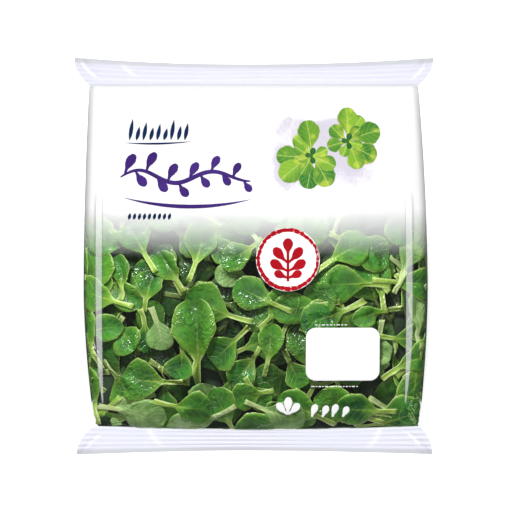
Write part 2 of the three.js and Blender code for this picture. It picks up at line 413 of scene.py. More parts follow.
def taut_strip(x, y, u, v):
    """The flat strip's height and its share at each point. Its middle keeps the pillow's height,
    and a straight slope falls across it. With c = 1 + b y / D, for a camera D above, a slope of a
    across and b along mirrors what stands at (2c - 1 - a^2 - b^2) / 2ac times its distance, and a
    is solved to keep that even. Beside the strip the film stays steeper until it meets the pillow,
    so that it mirrors nothing."""
    side = np.where(x < 0, -1, 1)
    height, middle = strip_middle(side, v)
    outer = strip_edges(y)[1]
    slope = np.where(x < 0, *STRIP_SLOPES)
    moves = (SLOPE_STEP, -SLOPE_STEP)
    ahead, behind = (strip_middle(side, np.clip(v + move, -1, 1)) for move in moves)
    climb = ahead[0] - behind[0] + slope * (ahead[1] - behind[1])
    along = climb / (2 * SLOPE_STEP * SEAL_LINE["bottom"])
    level = (1 - slope ** 2) / (2 * slope)
    tilt = 1 + along * y / (camera.location.z / MM - SIDE_LEVEL)
    across = np.sqrt(np.maximum((tilt * level) ** 2 + 2 * tilt - 1 - along ** 2, 0)) - tilt * level
    beyond = np.maximum(np.abs(x) - outer, 0)
    plane = height - across * (np.abs(x) - middle) - STRIP_DROP * beyond
    beside = mix(plane, pillow_height(u, v), soft_step(beyond, 0, STRIP_BLEND))
    height = np.where(beyond > 0, np.minimum(plane, beside), plane)
    inside = soft_step(np.abs(x), STRIP_INNER - STRIP_BLEND, STRIP_INNER)
    inside = inside * soft_step(y, STRIP_TAPER[0] - STRIP_END[0], STRIP_TAPER[0] + STRIP_END[1])
    return height, inside * (1 - soft_step(y, *STRIP_TOP))


def body_point(u, v, is_front, has_fin=True):
    """A point of the blown-up body on its front or back, in mm, as an array of x, y, z."""
    x = u * half_width(u, v)
    y = v * seal_line(u, v >= 0)
    if is_front:
        strip_height, strip_share = taut_strip(x, y, u, v)
        soft_height = pillow_height(u, v) + relief(x, y, u, v)
        return np.stack([x, y, mix(soft_height, strip_height, strip_share)], axis=-1)
    full = fullness(v)
    level = mix(SEAL_LEVEL, SIDE_LEVEL, full)
    crown = full * roundness(u)
    fin = np.clip(1 - np.maximum(0, np.maximum(-x, x - FIN_WIDTH)) / FIN_STEP, 0, 1) * has_fin
    z = level - SEAL_THICKNESS / 2 - BACK_DEPTH * crown - FIN_THICKNESS * fin
    rounded = (z + FLOOR_BLEND) ** 2 / (4 * FLOOR_BLEND)
    z = np.where(z <= -FLOOR_BLEND, 0, np.where(z >= FLOOR_BLEND, z, rounded))
    return np.stack([x, y, z], axis=-1)


def seal_point(u, s, end, is_front):
    """A point of a seal: s is 0 at the seal line and 1 at the cut edge. The ribs are a sine wave
    along s, the cut edge waves in height, and a fold crosses each corner."""
    sign = 1 if end == "top" else -1
    flare = 1 - (1 - s) ** CORNER_FLARE
    x = u * mix(side_value(u, end), side_value(u, end + "_corner"), flare)
    cut_edge = BAG_LENGTH / 2 - EDGE_SAG[end] * (1 - u * u)
    y = sign * mix(seal_line(u, end == "top"), cut_edge, s)
    wave = SEAL_WAVE * s * np.sin(math.tau * x / SEAL_WAVE_LENGTH + sign)
    fold_at = FOLD_AT_EDGE - FOLD_SLANT * (1 - s)
    fold = CORNER_FOLD * s * np.exp(-(((np.abs(u) - fold_at) / FOLD_HALF_WIDTH) ** 2))
    ribs = np.where(s < RIB_SHARE, np.sin(math.tau * RIB_COUNT * s / RIB_SHARE), 0)
    face = SEAL_THICKNESS / 2 if is_front else -SEAL_THICKNESS / 2
    z = SEAL_LEVEL + wave - fold + face + RIB_HEIGHT * ribs * np.minimum(1, s / RIB_START)
    return np.stack([x, y, z], axis=-1)


DIVISIONS = 6  # enough for u and v to settle within a thousandth


def front_height(x, y):
    """Height of the front film over a place on the bag. u and v are found by repeated division."""
    u, v = np.zeros_like(x), np.zeros_like(x)
    for _ in range(DIVISIONS):
        v = y / seal_line(u, y >= 0)
        u = x / half_width(np.where(x < 0, -1, 1), v)
    return body_point(u, v, True)[..., 2]


# %% [markdown]
# ## The film
#
# Polypropylene film for salad is about 0.04 mm thick, clear and very glossy. Thin film
# hardly bends light, so a Transparent shader shows the leaves behind it without the
# cost of refraction, and a Glossy shader mixed in by Fresnel gives the shine. White ink
# covers the upper part and thins out in fine dots over the top leaves. The cover is an
# attribute that rises evenly from the bag's middle to 28 mm above it. A painted grey
# shade darkens the ink where the film turns down at each side and along the top seal's
# line, the gathered film right beside a seal is less shiny, and the taut strips are
# shinier. A strip's extra shine ends in a low view, where Fresnel alone is strong.
#
# A seal is two films pressed together by a ribbed jaw, which turns them milky white
# with a cold tint. Painted shade greys its grooves, and all of the top seal and its line.
# A painted highlight whitens the crease where a corner folded under the jaw, and
# fainter painted highlight bands lie farther in.

# %% Film materials
FADE_TOP = 28  # above this y the white ink is solid
INK_GRAIN = 0.5  # how far the dots of the fading ink stand out from its mean cover
INK_DOTS = 20000  # dots to the metre
DOT_EDGES = (0.3, 0.7)  # values of the noise between which a dot sets in
FOLD_SHADE_WIDTH = (0.8, 5.0)  # mm from the side where the fold's painted grey shade starts to clear, and where it is gone
WALL_SHINE = 0.15  # share of the shine that is left where the film meets a seal
WALL_START, WALL_END = 0.9, 0.98  # shares of the way to the seal line between which it falls
TOP_LINE = 0.994  # share of the way to the top seal from which its line of painted shade shows
TOP_LINE_DEPTH = 0.055  # and the share of the seal's depth up to which it does
TOP_SEAL_SHADE = 0.16  # painted shade: share of the margin's grey all over the top seal, which the lights leave brighter than the bottom one
TOP_LINE_SHADE = 1.0  # and the share more of painted shade that marks its line
MARGIN_EDGE = (RIB_SHARE - 0.04, RIB_SHARE + 0.12)  # the grey of the plain margin sets in between these
MARGIN_GROOVE_SHADE = 0.4  # the margin's tone, as a share of a groove's painted shade
FILM_IOR = 1.5


def clear_film_material():
    """Biaxially oriented polypropylene, gloss both sides, with white ink under its surface."""
    material = new_material("clear_polypropylene_film")
    cover, fold, shine_left = (attribute(material, name) for name in ("ink_cover", "painted_fold_shade", "film_shine"))
    dots = ranged(material, noise(material, INK_DOTS, 0), *DOT_EDGES, -INK_GRAIN, INK_GRAIN)
    half_covered = maths(material, "MULTIPLY", cover, maths(material, "SUBTRACT", 1.0, cover))
    grain = maths(material, "MULTIPLY", dots, half_covered)
    clear = add(material, "ShaderNodeBsdfTransparent", {"Color": colour("#FDFEFC")})
    # The ink's grey is painted shade, at the side folds and along the top seal's line
    ink = add(material, "ShaderNodeBsdfPrincipled", {
        "Base Color": blended(material, fold, colour("#FDFDFE"), colour("#D6D7D9")),
        "Roughness": 0.28, "IOR": FILM_IOR})
    printed = mixed(material, maths(material, "ADD", cover, grain), clear, ink)
    shine = add(material, "ShaderNodeBsdfAnisotropic", {"Color": colour("#FFFFFF"), "Roughness": 0.06})
    fresnel = add(material, "ShaderNodeFresnel", {"IOR": FILM_IOR}).outputs[0]
    steep = ranged(material, fresnel, *STEEP_FRESNEL, STRIP_MIRROR, 0.0)
    most = maths(material, "MAXIMUM", fresnel, steep)
    mirrored = maths(material, "MINIMUM", maths(material, "MULTIPLY", fresnel, shine_left), most)
    return finished(material, mixed(material, mirrored, printed, shine))


def seal_material():
    """Two films welded by a ribbed jaw: milky, cold white, and half glossy."""
    material = new_material("welded_film_seal")
    groove_shade, margin, crease_highlight = (attribute(material, name) for name in ("painted_groove_shade", "seal_margin_and_painted_shade", "crease_highlight"))
    # Painted shade greys the grooves and the top seal, a painted highlight whitens the creases, and the
    # margin's grey is its own
    white = layered(material, colour("#ECECF8"), (
        (groove_shade, "#E0E1EF"), (margin, "#C8C9D0"), (crease_highlight, "#FFFFFF")))
    bump = add(material, "ShaderNodeBump", {
        "Height": noise(material, 90, 3), "Strength": 0.12, "Distance": 0.0006})
    film = add(material, "ShaderNodeBsdfPrincipled", {
        "Base Color": white, "Roughness": 0.3, "IOR": FILM_IOR, "Normal": bump.outputs[0]})
    return finished(material, film)


# %% The film as one closed surface
FILM_COLUMNS = (58, 4, 6, 4, 13)  # to a strip, on its inner edge, it, its outer edge, to the side
BODY_ROWS = 160
SEAL_ROWS = 40
END_CROWDING = 0.75  # share of a sine in the rows' places, which crowd towards the seals
STRIP_SHARE = 0.9  # u of a strip, near enough for its columns' place along the bag
NARROWEST = 0.08  # share of a strip's width that its columns keep below its point
CREASE_RUNS = (0.2, 0.3)  # shares of the seal's depth over which a crease's painted highlight starts and stops
# Painted highlights along the corner creases of the seals, and fainter painted highlight bands farther in
CreaseHighlight = namedtuple("CreaseHighlight", "end side at_line at_edge half_width strength start stop")
CREASE_HIGHLIGHTS = [  # places and widths as shares of the half width, start and stop as shares of the depth
    CreaseHighlight("top", -1, 0.885, 0.977, 0.008, 1.0, 0.22, 0.95),
    CreaseHighlight("top", 1, 0.906, 0.972, 0.009, 1.0, 0.18, 0.85),
    CreaseHighlight("bottom", -1, 0.89, 0.957, 0.008, 1.0, 0.18, 0.85),
    CreaseHighlight("bottom", 1, 0.884, 0.95, 0.008, 1.0, 0.14, 0.85),
    CreaseHighlight("top", -1, 0.64, 0.753, 0.016, 0.55, 0.3, 0.95),
    CreaseHighlight("bottom", -1, 0.655, 0.475, 0.018, 0.5, -0.1, 0.85),
    CreaseHighlight("bottom", 1, 0.76, 0.61, 0.016, 0.5, -0.1, 0.9),
]


def column_places(v):
    """u of every column in each row: columns keep to both edges of a taut strip, so that these
    come out straight, and crowd towards the bag's side by a sine."""
    y = v * seal_line(STRIP_SHARE, v >= 0)
    inner, outer = STRIP_INNER + 0 * v, strip_edges(y, NARROWEST)[1]
    sides = []
    for side in (-1, 1):
        half = half_width(side, v)
        edges = [0 * v, inner - STRIP_BLEND, inner, outer, outer + STRIP_BLEND, half]
        runs = [mix(low, high, np.arange(count) / count)
                for count, low, high in zip(FILM_COLUMNS, edges, edges[1:])]
        to_side = np.arange(FILM_COLUMNS[-1]) / FILM_COLUMNS[-1]
        runs[-1] = mix(edges[-2], half, np.sin(to_side * math.pi / 2))
        sides.append(side * np.concatenate(runs + [half], axis=1) / half)
    return np.concatenate([sides[0][:, :0:-1], sides[1]], axis=1)


def film_rows(is_front):
    """All rows of one face, from the bottom cut edge to the top one, and each row's own u, v or s."""
    even = np.linspace(-1, 1, BODY_ROWS)
    v = mix(even, np.sin(even * math.pi / 2), END_CROWDING)[:, None]
    u = column_places(v)
    s = np.linspace(0, 1, SEAL_ROWS)[1:, None]
    bottom = seal_point(u[:1], s[::-1], "bottom", is_front)
    top = seal_point(u[-1:], s, "top", is_front)
    return np.concatenate([bottom, body_point(u, v + 0 * u, is_front), top]), u, v, s


def crease_highlights_on(end, u, s):
    """Painted highlights along the creases of one seal: bell curves across slanting lines, which taper at
    both ends.
    """
    total = 0 * u * s
    for crease_highlight in CREASE_HIGHLIGHTS:
        if crease_highlight.end == end:
            from_line = (crease_highlight.side * u - mix(crease_highlight.at_line, crease_highlight.at_edge, s)) / crease_highlight.half_width
            length = soft_step(s, crease_highlight.start, crease_highlight.start + CREASE_RUNS[0])
            length = length * (1 - soft_step(s, crease_highlight.stop - CREASE_RUNS[1], crease_highlight.stop))
            total = total + crease_highlight.strength * length * np.exp(-(from_line ** 2))
    return total


def seal_attributes(u, s):
    """The painted shade of the grooves between the ribs, the plain margins with the painted shade of the top
    seal and its line, and the painted highlights of the creases, for the rows of the bottom seal, the body,
    which has none of them, and the top seal."""
    groove_shade = 0.5 - 0.5 * np.sin(math.tau * RIB_COUNT * s / RIB_SHARE)
    groove_shade = np.where(s < RIB_SHARE, groove_shade, MARGIN_GROOVE_SHADE)
    margin = soft_step(s, *MARGIN_EDGE)
    # Painted shade: the whole top seal is greyed, as the lights leave it brighter than the bottom one, and
    # its line more so
    painted_top_shade = TOP_SEAL_SHADE + TOP_LINE_SHADE * (s < TOP_LINE_DEPTH)
    both_ends = {
        "painted_groove_shade": (groove_shade, groove_shade),
        "seal_margin_and_painted_shade": (margin, np.minimum(margin + painted_top_shade, 1)),
        "crease_highlight": (crease_highlights_on("bottom", u[:1], s), crease_highlights_on("top", u[-1:], s)),
    }
    body, row = np.zeros_like(u), 0 * u[:1]
    return {key: np.concatenate([bottom[::-1] + row, body, top + row])
            for key, (bottom, top) in both_ends.items()}


def film_attributes(points, u, v, s):
    """How much white ink covers each point, the painted shade of the folds at the sides and of the line of
    the top seal, how shiny the film is, and what the seals show."""
    x, y = points[..., 0], points[..., 1]
    side = half_width(np.sign(x) + (x == 0), np.clip(y / SEAL_LINE["top"], -1, 1))
    # Painted shade: 1 at each side, where the film turns down, clearing inwards
    fold = 1 - soft_step(side - np.abs(x), *FOLD_SHADE_WIDTH)
    ends = np.zeros((len(s), u.shape[1]))
    body_v = np.concatenate([ends, v + 0 * u, ends])
    foot = soft_step(-y, -STRIP_FOOT[0], -STRIP_FOOT[1]) * towards_strip(x)
    near_wall = np.maximum(soft_step(np.abs(body_v), WALL_START, WALL_END), foot)
    return {
        "ink_cover": np.clip(y / FADE_TOP, 0, 1),
        "painted_fold_shade": np.maximum(fold, soft_step(body_v, TOP_LINE, 1)),
        "film_shine": mix(1, WALL_SHINE, near_wall) * mix(1, STRIP_SHINE, strip_window(x, y)),
        **seal_attributes(u, s),
    }


def make_film():
    """The bag's front and back grids as one closed solid, with the seals in their own material."""
    front, u, v, s = film_rows(True)
    back = film_rows(False)[0]
    surface = closed_sheet(front, back)
    faces = [film_attributes(face, u, v, s) for face in (front, back)]
    attributes = {key: np.concatenate([face[key].ravel() for face in faces]) for key in faces[0]}
    piece = new_piece("film_bag", surface, [clear_film_material(), seal_material()],
                      attributes, replaces="salad_bag")
    row = (surface.quads % (front.shape[0] * front.shape[1])) // front.shape[1]
    lowest, highest = row.min(axis=1), row.max(axis=1)
    is_seal = (highest <= SEAL_ROWS - 1) | (lowest >= SEAL_ROWS + BODY_ROWS - 2)
    piece.data.polygons.foreach_set("material_index", is_seal.astype(np.int32))
    return piece


film = make_film()
film.visible_shadow = False  # clear film throws none, and white ink on it only softens the light

# %% [markdown]
# ## Where the leaves can lie
#
# The leaves press against the inside of the film and lie over each other in layers. To
# lay a leaf so, the film is unrolled: a place is given by its distance a round the
# bag's section, from the middle of one face, and its distance y along the bag. A depth
# below the film leads from there towards the middle of the section, never past it, so
# nothing placed this way can cut the film.

# %% The unrolled film
REACH_ROUND = 150  # mm unrolled to each side of a face's middle
SECTION_STEPS = 400
Y_LIMITS = (-102, 100)
SHORT_OF_SEAL = 0.999  # sections stop at this share of the way to a seal line
LAST_CELL = 1.001  # keeps a place inside the last cell of a table
Inside = namedtuple("Inside", "film spine room")


def section_at(y):
    """One cross-section as a loop of x, z points: the front left to right, the back right to left."""
    u = np.sin(np.linspace(-1, 1, SECTION_STEPS) * math.pi / 2)
    v = np.clip(y / seal_line(u, y >= 0), -SHORT_OF_SEAL, SHORT_OF_SEAL)
    front = body_point(u, v, True)[:, [0, 2]]
    back = body_point(u, v, False, has_fin=False)[::-1, [0, 2]]
    return np.concatenate([front, back])


def unrolled(is_front):
    """For each mm of y and of distance round the section: the film's place and its spine's."""
    distances = np.arange(-REACH_ROUND, REACH_ROUND + 1)
    film_points, spine_points = [], []
    for y in np.arange(Y_LIMITS[0], Y_LIMITS[1] + 1):
        loop = section_at(y)
        steps = np.linalg.norm(np.diff(loop, axis=0, append=loop[:1]), axis=1)
        run = np.concatenate([[0], np.cumsum(steps)])
        middle = (SECTION_STEPS - 1) / 2 + (0 if is_front else SECTION_STEPS)
        start = np.interp(middle, np.arange(len(run)), run)
        at = (start + distances) % run[-1]
        x, z = (np.interp(at, run, np.append(loop[:, k], loop[0, k])) for k in (0, 1))
        half_height = np.ptp(loop[:, 1]) / 2
        narrowed = 1 - half_height / (np.ptp(loop[:, 0]) / 2)
        level = (loop[:, 1].min() + loop[:, 1].max()) / 2
        rows = np.full_like(x, y)
        film_points.append(np.stack([x, rows, z], axis=-1))
        spine_points.append(np.stack([x * narrowed, rows, np.full_like(x, level)], axis=-1))
    film_grid, spine_grid = np.array(film_points), np.array(spine_points)
    return Inside(film_grid, spine_grid, np.linalg.norm(spine_grid - film_grid, axis=-1))


def sample(table, a, y):
    """A table's values between its whole millimetres, by straight blends both ways."""
    column = np.clip(a + REACH_ROUND, 0, table.shape[1] - LAST_CELL)
    row = np.clip(y - Y_LIMITS[0], 0, table.shape[0] - LAST_CELL)
    i, j = column.astype(int), row.astype(int)
    fi, fj = column - i, row - j
    if table.ndim == 3:
        fi, fj = fi[..., None], fj[..., None]
    low = mix(table[j, i], table[j, i + 1], fi)
    return mix(low, mix(table[j + 1, i], table[j + 1, i + 1], fi), fj)


front_inside = unrolled(True)
back_inside = unrolled(False)
middle_room = front_inside.room[len(front_inside.room) // 2 - 1, REACH_ROUND]
print(f"room below the middle of the front film: {middle_room:.1f} mm")

# %% [markdown]
# ## One leaf
#
# A leaf of lamb's lettuce is spoon shaped: a pale narrow stalk that widens into a round
# blade, 35 to 45 mm long in all. It is cupped, folded along its midrib or waved at its
# rim, and 0.4 mm thick with a thicker rib. The leaf is a grid: s runs from the cut end
# of the stalk to the tip, c from the left rim to the right one.

# %% The form of a leaf
LeafShape = namedtuple("LeafShape", "length width fold cup curl sway ruffle phase stalk")
LEAF_THICKNESS = 0.4
STALK_THICKNESS = 1.3
STALK_HALF_WIDTH = 1.2
LEAST_HALF_WIDTH = 0.12
WIDEST_BLADE = 0.58  # share of the blade, from its stalk, where it is widest
BLADE_WIDENING = 1.25  # powers of the curves on both sides of there
BLADE_CLOSING = 2.1
RIM_WAVES = ((0.035, 3.1), (0.02, 6.7))  # share of the width, and waves along the leaf
STALK_FLARE = 0.3  # how much wider the stalk's cut end is
RIB_WIDTH = 1.1
RIB_THICKNESS = 0.6
STALK_HOLLOW = 1.1  # how high the stalk's rims stand
BLADE_STARTS = (0.8, 0.25)  # share of the stalk where its form starts to change, and s past it to the end
SWAY_PIVOT = 0.4  # s where a swaying leaf runs straight
CURL_PIVOT = 0.35  # and where a curling one is flat
RUFFLES = 2.3  # waves of a leaf's rim
RUFFLE_SLANT = 1.5  # radians from the midrib to the rim
EDGE_THINNING = 0.6  # share of the thickness that is lost at the stalk's rims and at the leaf's tip
TIP_CROWDING = 1.5  # powers that draw a leaf's rows towards its tip, and its columns to its midrib
RIM_CROWDING = 1.15


def leaf_half_width(s, shape):
    """The stalk's width, then a blade that widens as a sine and closes as an ellipse at the tip."""
    t = np.clip((s - shape.stalk) / (1 - shape.stalk), 0, 1)
    widening = np.sin(np.minimum(t / WIDEST_BLADE, 1) * math.pi / 2) ** BLADE_WIDENING
    past = np.maximum(0, (t - WIDEST_BLADE) / (1 - WIDEST_BLADE))
    closing = np.sqrt(np.maximum(0, 1 - past ** BLADE_CLOSING))
    wave = 1
    for (high, count), start in zip(RIM_WAVES, (shape.phase, shape.sway)):
        wave = wave + high * np.sin(math.tau * count * s + start)
    blade = shape.width / 2 * widening * closing * wave
    flare = 1 + STALK_FLARE * np.maximum(0, 1 - s / shape.stalk) ** 2
    stalk = STALK_HALF_WIDTH * flare * np.sqrt(1 - t)
    return np.sqrt(stalk ** 2 + blade ** 2) + LEAST_HALF_WIDTH


def leaf_grid(shape, rows, columns):
    """The leaf's middle surface: distance to the side, distance ahead and height, its thickness,
    and its s and c. The blade folds up round the midrib and its rim is cupped and ruffled."""
    s = 1 - (1 - np.linspace(0, 1, rows)[:, None]) ** TIP_CROWDING
    even = np.linspace(-1, 1, columns)[None, :]
    c = np.sign(even) * np.abs(even) ** RIM_CROWDING + 0 * s
    s = s + 0 * c
    half = leaf_half_width(s, shape)
    blade = soft_step(s, shape.stalk * BLADE_STARTS[0], shape.stalk + BLADE_STARTS[1])
    fold = shape.fold * blade
    offset = c * half
    lift = np.sqrt(offset ** 2 + 1.0) - 1.0
    heading = shape.sway * (s - SWAY_PIVOT)
    bow = shape.length * shape.sway * 0.5 * (s - SWAY_PIVOT) ** 2
    side = offset * np.cos(fold) * np.cos(heading) + bow
    ahead = s * shape.length - offset * np.sin(heading)
    rise = lift * np.sin(fold)
    rise += shape.cup * blade * (c ** 2) * half * 0.5
    waves = np.sin(math.tau * RUFFLES * s + shape.phase + RUFFLE_SLANT * c)
    rise += shape.ruffle * blade * np.abs(c) ** 3 * waves
    rise += shape.curl * shape.length * (s - CURL_PIVOT) ** 2
    rise += (1 - blade) * (c ** 2) * STALK_HOLLOW
    rib = np.exp(-((offset / RIB_WIDTH) ** 2)) * (1 - s) ** 0.8
    stalk = STALK_THICKNESS * (1 - EDGE_THINNING * c ** 4)
    thick = mix(stalk, LEAF_THICKNESS + RIB_THICKNESS * rib, blade)
    return side, ahead, rise, thick * (1 - EDGE_THINNING * s ** 6), s, c


# %% [markdown]
# ## Laying the leaves
#
# A height map holds how high the heap reaches at each millimetre of the unrolled film.
# Each new leaf comes down on it as it would in the bag: it keeps its own form, and
# where the heap is higher it drapes over it. The lower layers stay under a ceiling, so
# that the top ones have room. Then the leaf is added to the map.

# %% The heap and how a leaf settles on it
Heap = namedtuple("Heap", "inside tops parts")
FILM_GAP = 0.5  # nothing comes nearer to the film than this
LEAF_GAP = 0.15
DIM_DEPTH = 20  # mm below the film that count as a depth of 1 where leaves darken with it
DEEPEST = {"front": 17.0, "back": 8.0}
DEEPEST_SHARE = 0.86  # and nothing lies deeper than this share of the way to the section's middle
SIDE_LIMIT = 3.0  # leaves bend flat against a seal over this length
SEAL_GAP = 0.3
HALF_ROUND = 108.0  # from the middle of the front to the bag's side, round the section
REST_SHARE = 0.7  # a leaf comes down until it touches this share of what is below it
CROWDED = (0.4, 0.3)  # no room: the heap is this many mm too high under more than this share of it
FILM_SOFTNESS = 1.6  # mm over which a leaf's height eases off below its limit
ROOM_SHARE = 0.9  # share of the way to the section's middle that a leaf never passes
SPINE_SHARE = 0.95  # and that none of its points do
SHORTEST_WAY = 0.2  # mm to the spine, so that nothing is divided by 0
SPREADS = 3  # times that a lifted point shares its lift with its neighbours
NO_LIMIT = -99.0


def new_heap(inside, deepest):
    """An empty heap: its floor is the core's surface, at most this deep below the film."""
    return Heap(inside, -np.minimum(deepest, DEEPEST_SHARE * inside.room), [])


def held_inside(a, y):
    """y, eased so that it never passes a seal line: from a few mm before it on, it slows down."""
    u = np.clip(a / HALF_ROUND, -1, 1)
    low = SIDE_LIMIT + SEAL_GAP - seal_line(u, False)
    high = seal_line(u, True) - SIDE_LIMIT - SEAL_GAP
    passed = (np.maximum(0, past) for past in (y - high, low - y))
    over, under = (SIDE_LIMIT * (1 - np.exp(-past / SIDE_LIMIT)) for past in passed)
    return np.clip(y, low, high) + over - under


def spread(lift):
    """The lift of each point of a leaf, shared with its neighbours, so that a leaf has no kinks."""
    padded = np.pad(lift, 1, mode="edge")
    around = (padded[:-2, 1:-1] + padded[2:, 1:-1] + padded[1:-1, :-2] + padded[1:-1, 2:]) / 4
    return np.maximum(lift, around)


def widened(tops):
    """The highest of each millimetre of the heap's map and its eight neighbours."""
    padded = np.pad(tops, 1, mode="edge")
    rows, columns = tops.shape
    return np.max([padded[j:j + rows, i:i + columns] for j in range(3) for i in range(3)], axis=0)


def lay_leaf(heap, shape, tip, stalk_end, tilt, ceiling, tone, shows_back, rows, columns, lowest):
    """Lays one leaf from stalk_end to tip, places on the unrolled film in mm. Returns False
    where there is no room for it under the ceiling."""
    side, ahead, rise, thick, s, c = leaf_grid(shape, rows, columns)
    offset = c * leaf_half_width(s, shape)
    run = np.array(tip, float) - np.array(stalk_end, float)
    direction = run / np.linalg.norm(run)
    a = stalk_end[0] + direction[0] * ahead + direction[1] * side
    y = held_inside(a, stalk_end[1] + direction[1] * ahead - direction[0] * side)
    rise = rise + tilt[0] * (ahead - shape.length / 2) + tilt[1] * side
    room = sample(heap.inside.room, a, y)
    tops = sample(widened(heap.tops), a, y) + thick / 2 + LEAF_GAP
    base = max(np.quantile(tops - rise, REST_SHARE), lowest - rise.mean())
    highest = np.minimum(ceiling, 0) - FILM_GAP - thick / 2
    if np.mean(tops > highest + CROWDED[0]) > CROWDED[1]:
        return False
    lift = np.maximum(0, tops - (base + rise))
    for _ in range(SPREADS):
        lift = spread(lift)
    height = base + rise + lift
    below = np.clip((highest - height) / FILM_SOFTNESS, -30, 30)
    height = highest - FILM_SOFTNESS * np.log1p(np.exp(below))
    height = np.maximum(height, np.minimum(tops, highest))
    height = np.maximum(height, -ROOM_SHARE * room)
    mark_top(heap, a, y, height + thick / 2)
    facts = {"leaf_along": s, "leaf_across": c, "leaf_side": offset, "leaf_depth": -height / DIM_DEPTH}
    heap.parts.append(leaf_solid(heap, a, y, height, thick, facts, tone, shows_back))
    return True


def mark_top(heap, a, y, height):
    """Raises the heap's map to a leaf's surface, on a grid twice as fine as the leaf's own."""
    def finer(grid):
        for axis in (0, 1):
            low = np.take(grid, range(grid.shape[axis] - 1), axis)
            high = np.take(grid, range(1, grid.shape[axis]), axis)
            parts = np.stack([low, (low + high) / 2], axis=axis + 1)
            shape = list(low.shape)
            shape[axis] *= 2
            grid = np.concatenate([parts.reshape(shape), np.take(grid, [-1], axis)], axis)
        return grid
    fine_a, fine_y, fine_height = finer(a), finer(y), finer(height)
    column = np.clip(np.rint(fine_a + REACH_ROUND).astype(int), 0, heap.tops.shape[1] - 1)
    row = np.clip(np.rint(fine_y - Y_LIMITS[0]).astype(int), 0, heap.tops.shape[0] - 1)
    np.maximum.at(heap.tops, (row, column), fine_height)


def inside_point(inside, a, y, depth):
    """The place at this depth below the film, on the straight way to the section's spine."""
    film_point, spine = sample(inside.film, a, y), sample(inside.spine, a, y)
    way = spine - film_point
    share = depth / np.maximum(np.linalg.norm(way, axis=-1), SHORTEST_WAY)
    return film_point + way * np.minimum(share, SPINE_SHARE)[..., None]


def leaf_solid(heap, a, y, height, thick, facts, tone, shows_back):
    """The leaf's two faces as a closed sheet, with what its finish needs to know of each point."""
    upper = inside_point(heap.inside, a, y, -(height + thick / 2))
    lower = inside_point(heap.inside, a, y, -(height - thick / 2))
    is_back = np.concatenate([np.full(a.size, shows_back), np.full(a.size, not shows_back)])
    facts = {key: np.concatenate([value.ravel(), value.ravel()]) for key, value in facts.items()}
    facts["leaf_back"] = is_back.astype(float)
    facts["leaf_tone"] = np.full(is_back.size, tone)
    return closed_sheet(upper, lower), facts


# %% [markdown]
# ## Random leaves below, chosen leaves on top
#
# The deeper layers are random: each leaf draws its size, turn and curl from one seeded
# generator, at places spread evenly over the film with some play. The top layer of the
# window is chosen from the photograph, because those leaves are what the eye
# knows the bag by: each is named by the pixels of its tip and of the end of its stalk.

# %% Random layers
rng = np.random.default_rng(907)
LEAF_LENGTHS = (33, 45)
LEAF_ASPECT = (0.5, 0.64)
LEAF_FOLDS = (0.05, 0.7)
LEAF_PLAY = {"cup": (-0.35, 0.5), "curl": (-0.35, 0.4), "sway": (-0.5, 0.5), "ruffle": (0.2, 0.9),
             "phase": (0, math.tau), "stalk": (0.28, 0.38)}
SHARE_BACK_UP = 0.13
ANY_WAY = (0, math.tau)
JITTER = 0.45  # share of the lattice's pitch that a leaf may lie off its place
TIP_SHARE = 0.45  # share of a leaf's length that lies beyond its place


def random_shape(length=None, width=None, fold=None):
    """A leaf's own form, in mm, radians and shares, with a random value for all that isn't given."""
    length = length or rng.uniform(*LEAF_LENGTHS)
    width = width or length * rng.uniform(*LEAF_ASPECT)
    fold = rng.uniform(*LEAF_FOLDS) if fold is None else fold
    return LeafShape(length, width, fold, **{key: rng.uniform(*play) for key, play in LEAF_PLAY.items()})


def scatter(heap, a_range, y_range, pitch, ceiling, steepness, rows=20, columns=9,
            turns=ANY_WAY, gaps_below=None, lowest=NO_LIMIT):
    """One leaf at each place of a jittered lattice, turned and tilted at random, or only at the
    places where the heap lies lower than gaps_below. Returns how many it laid."""
    laid = 0
    places = [(a, y) for y in np.arange(*y_range, pitch) for a in np.arange(*a_range, pitch)]
    for k in rng.permutation(len(places)):
        middle = np.array(places[k]) + rng.uniform(-JITTER, JITTER, 2) * pitch
        if gaps_below is not None and sample(heap.tops, *middle) > gaps_below:
            continue
        shape = random_shape()
        turn = rng.uniform(*turns) + math.pi * rng.integers(2)
        way = np.array([math.cos(turn), math.sin(turn)]) * shape.length
        tilt = rng.uniform(-steepness, steepness, 2)
        back_up = rng.random() < SHARE_BACK_UP
        tip, stalk_end = middle + way * TIP_SHARE, middle - way * (1 - TIP_SHARE)
        laid += lay_leaf(heap, shape, tip, stalk_end, tilt, ceiling, rng.random(), back_up,
                         rows, columns, lowest)
    return laid


front_heap = new_heap(front_inside, DEEPEST["front"])
back_heap = new_heap(back_inside, DEEPEST["back"])
COARSE = (16, 7)  # rows and columns of a leaf that hardly shows
FRONT_LAYERS = (  # reach round and along, pitch, ceiling, steepest tilt, and rows and columns
    ((-112, 113), (-98, 97), 17, -10.0, 0.45, *COARSE),
    ((-112, 113), (-98, 45), 25, -6.0, 0.6),
)
BACK_LAYERS = (
    ((-100, 101), (-96, 97), 19, -3.0, 0.3, *COARSE),
    ((-100, 101), (-96, 60), 21, 0.0, 0.25),
)
counts = [scatter(front_heap, *layer) for layer in FRONT_LAYERS]
counts_back = [scatter(back_heap, *layer) for layer in BACK_LAYERS]
print(f"random leaves: {counts} under the front film, {counts_back} over the back film")

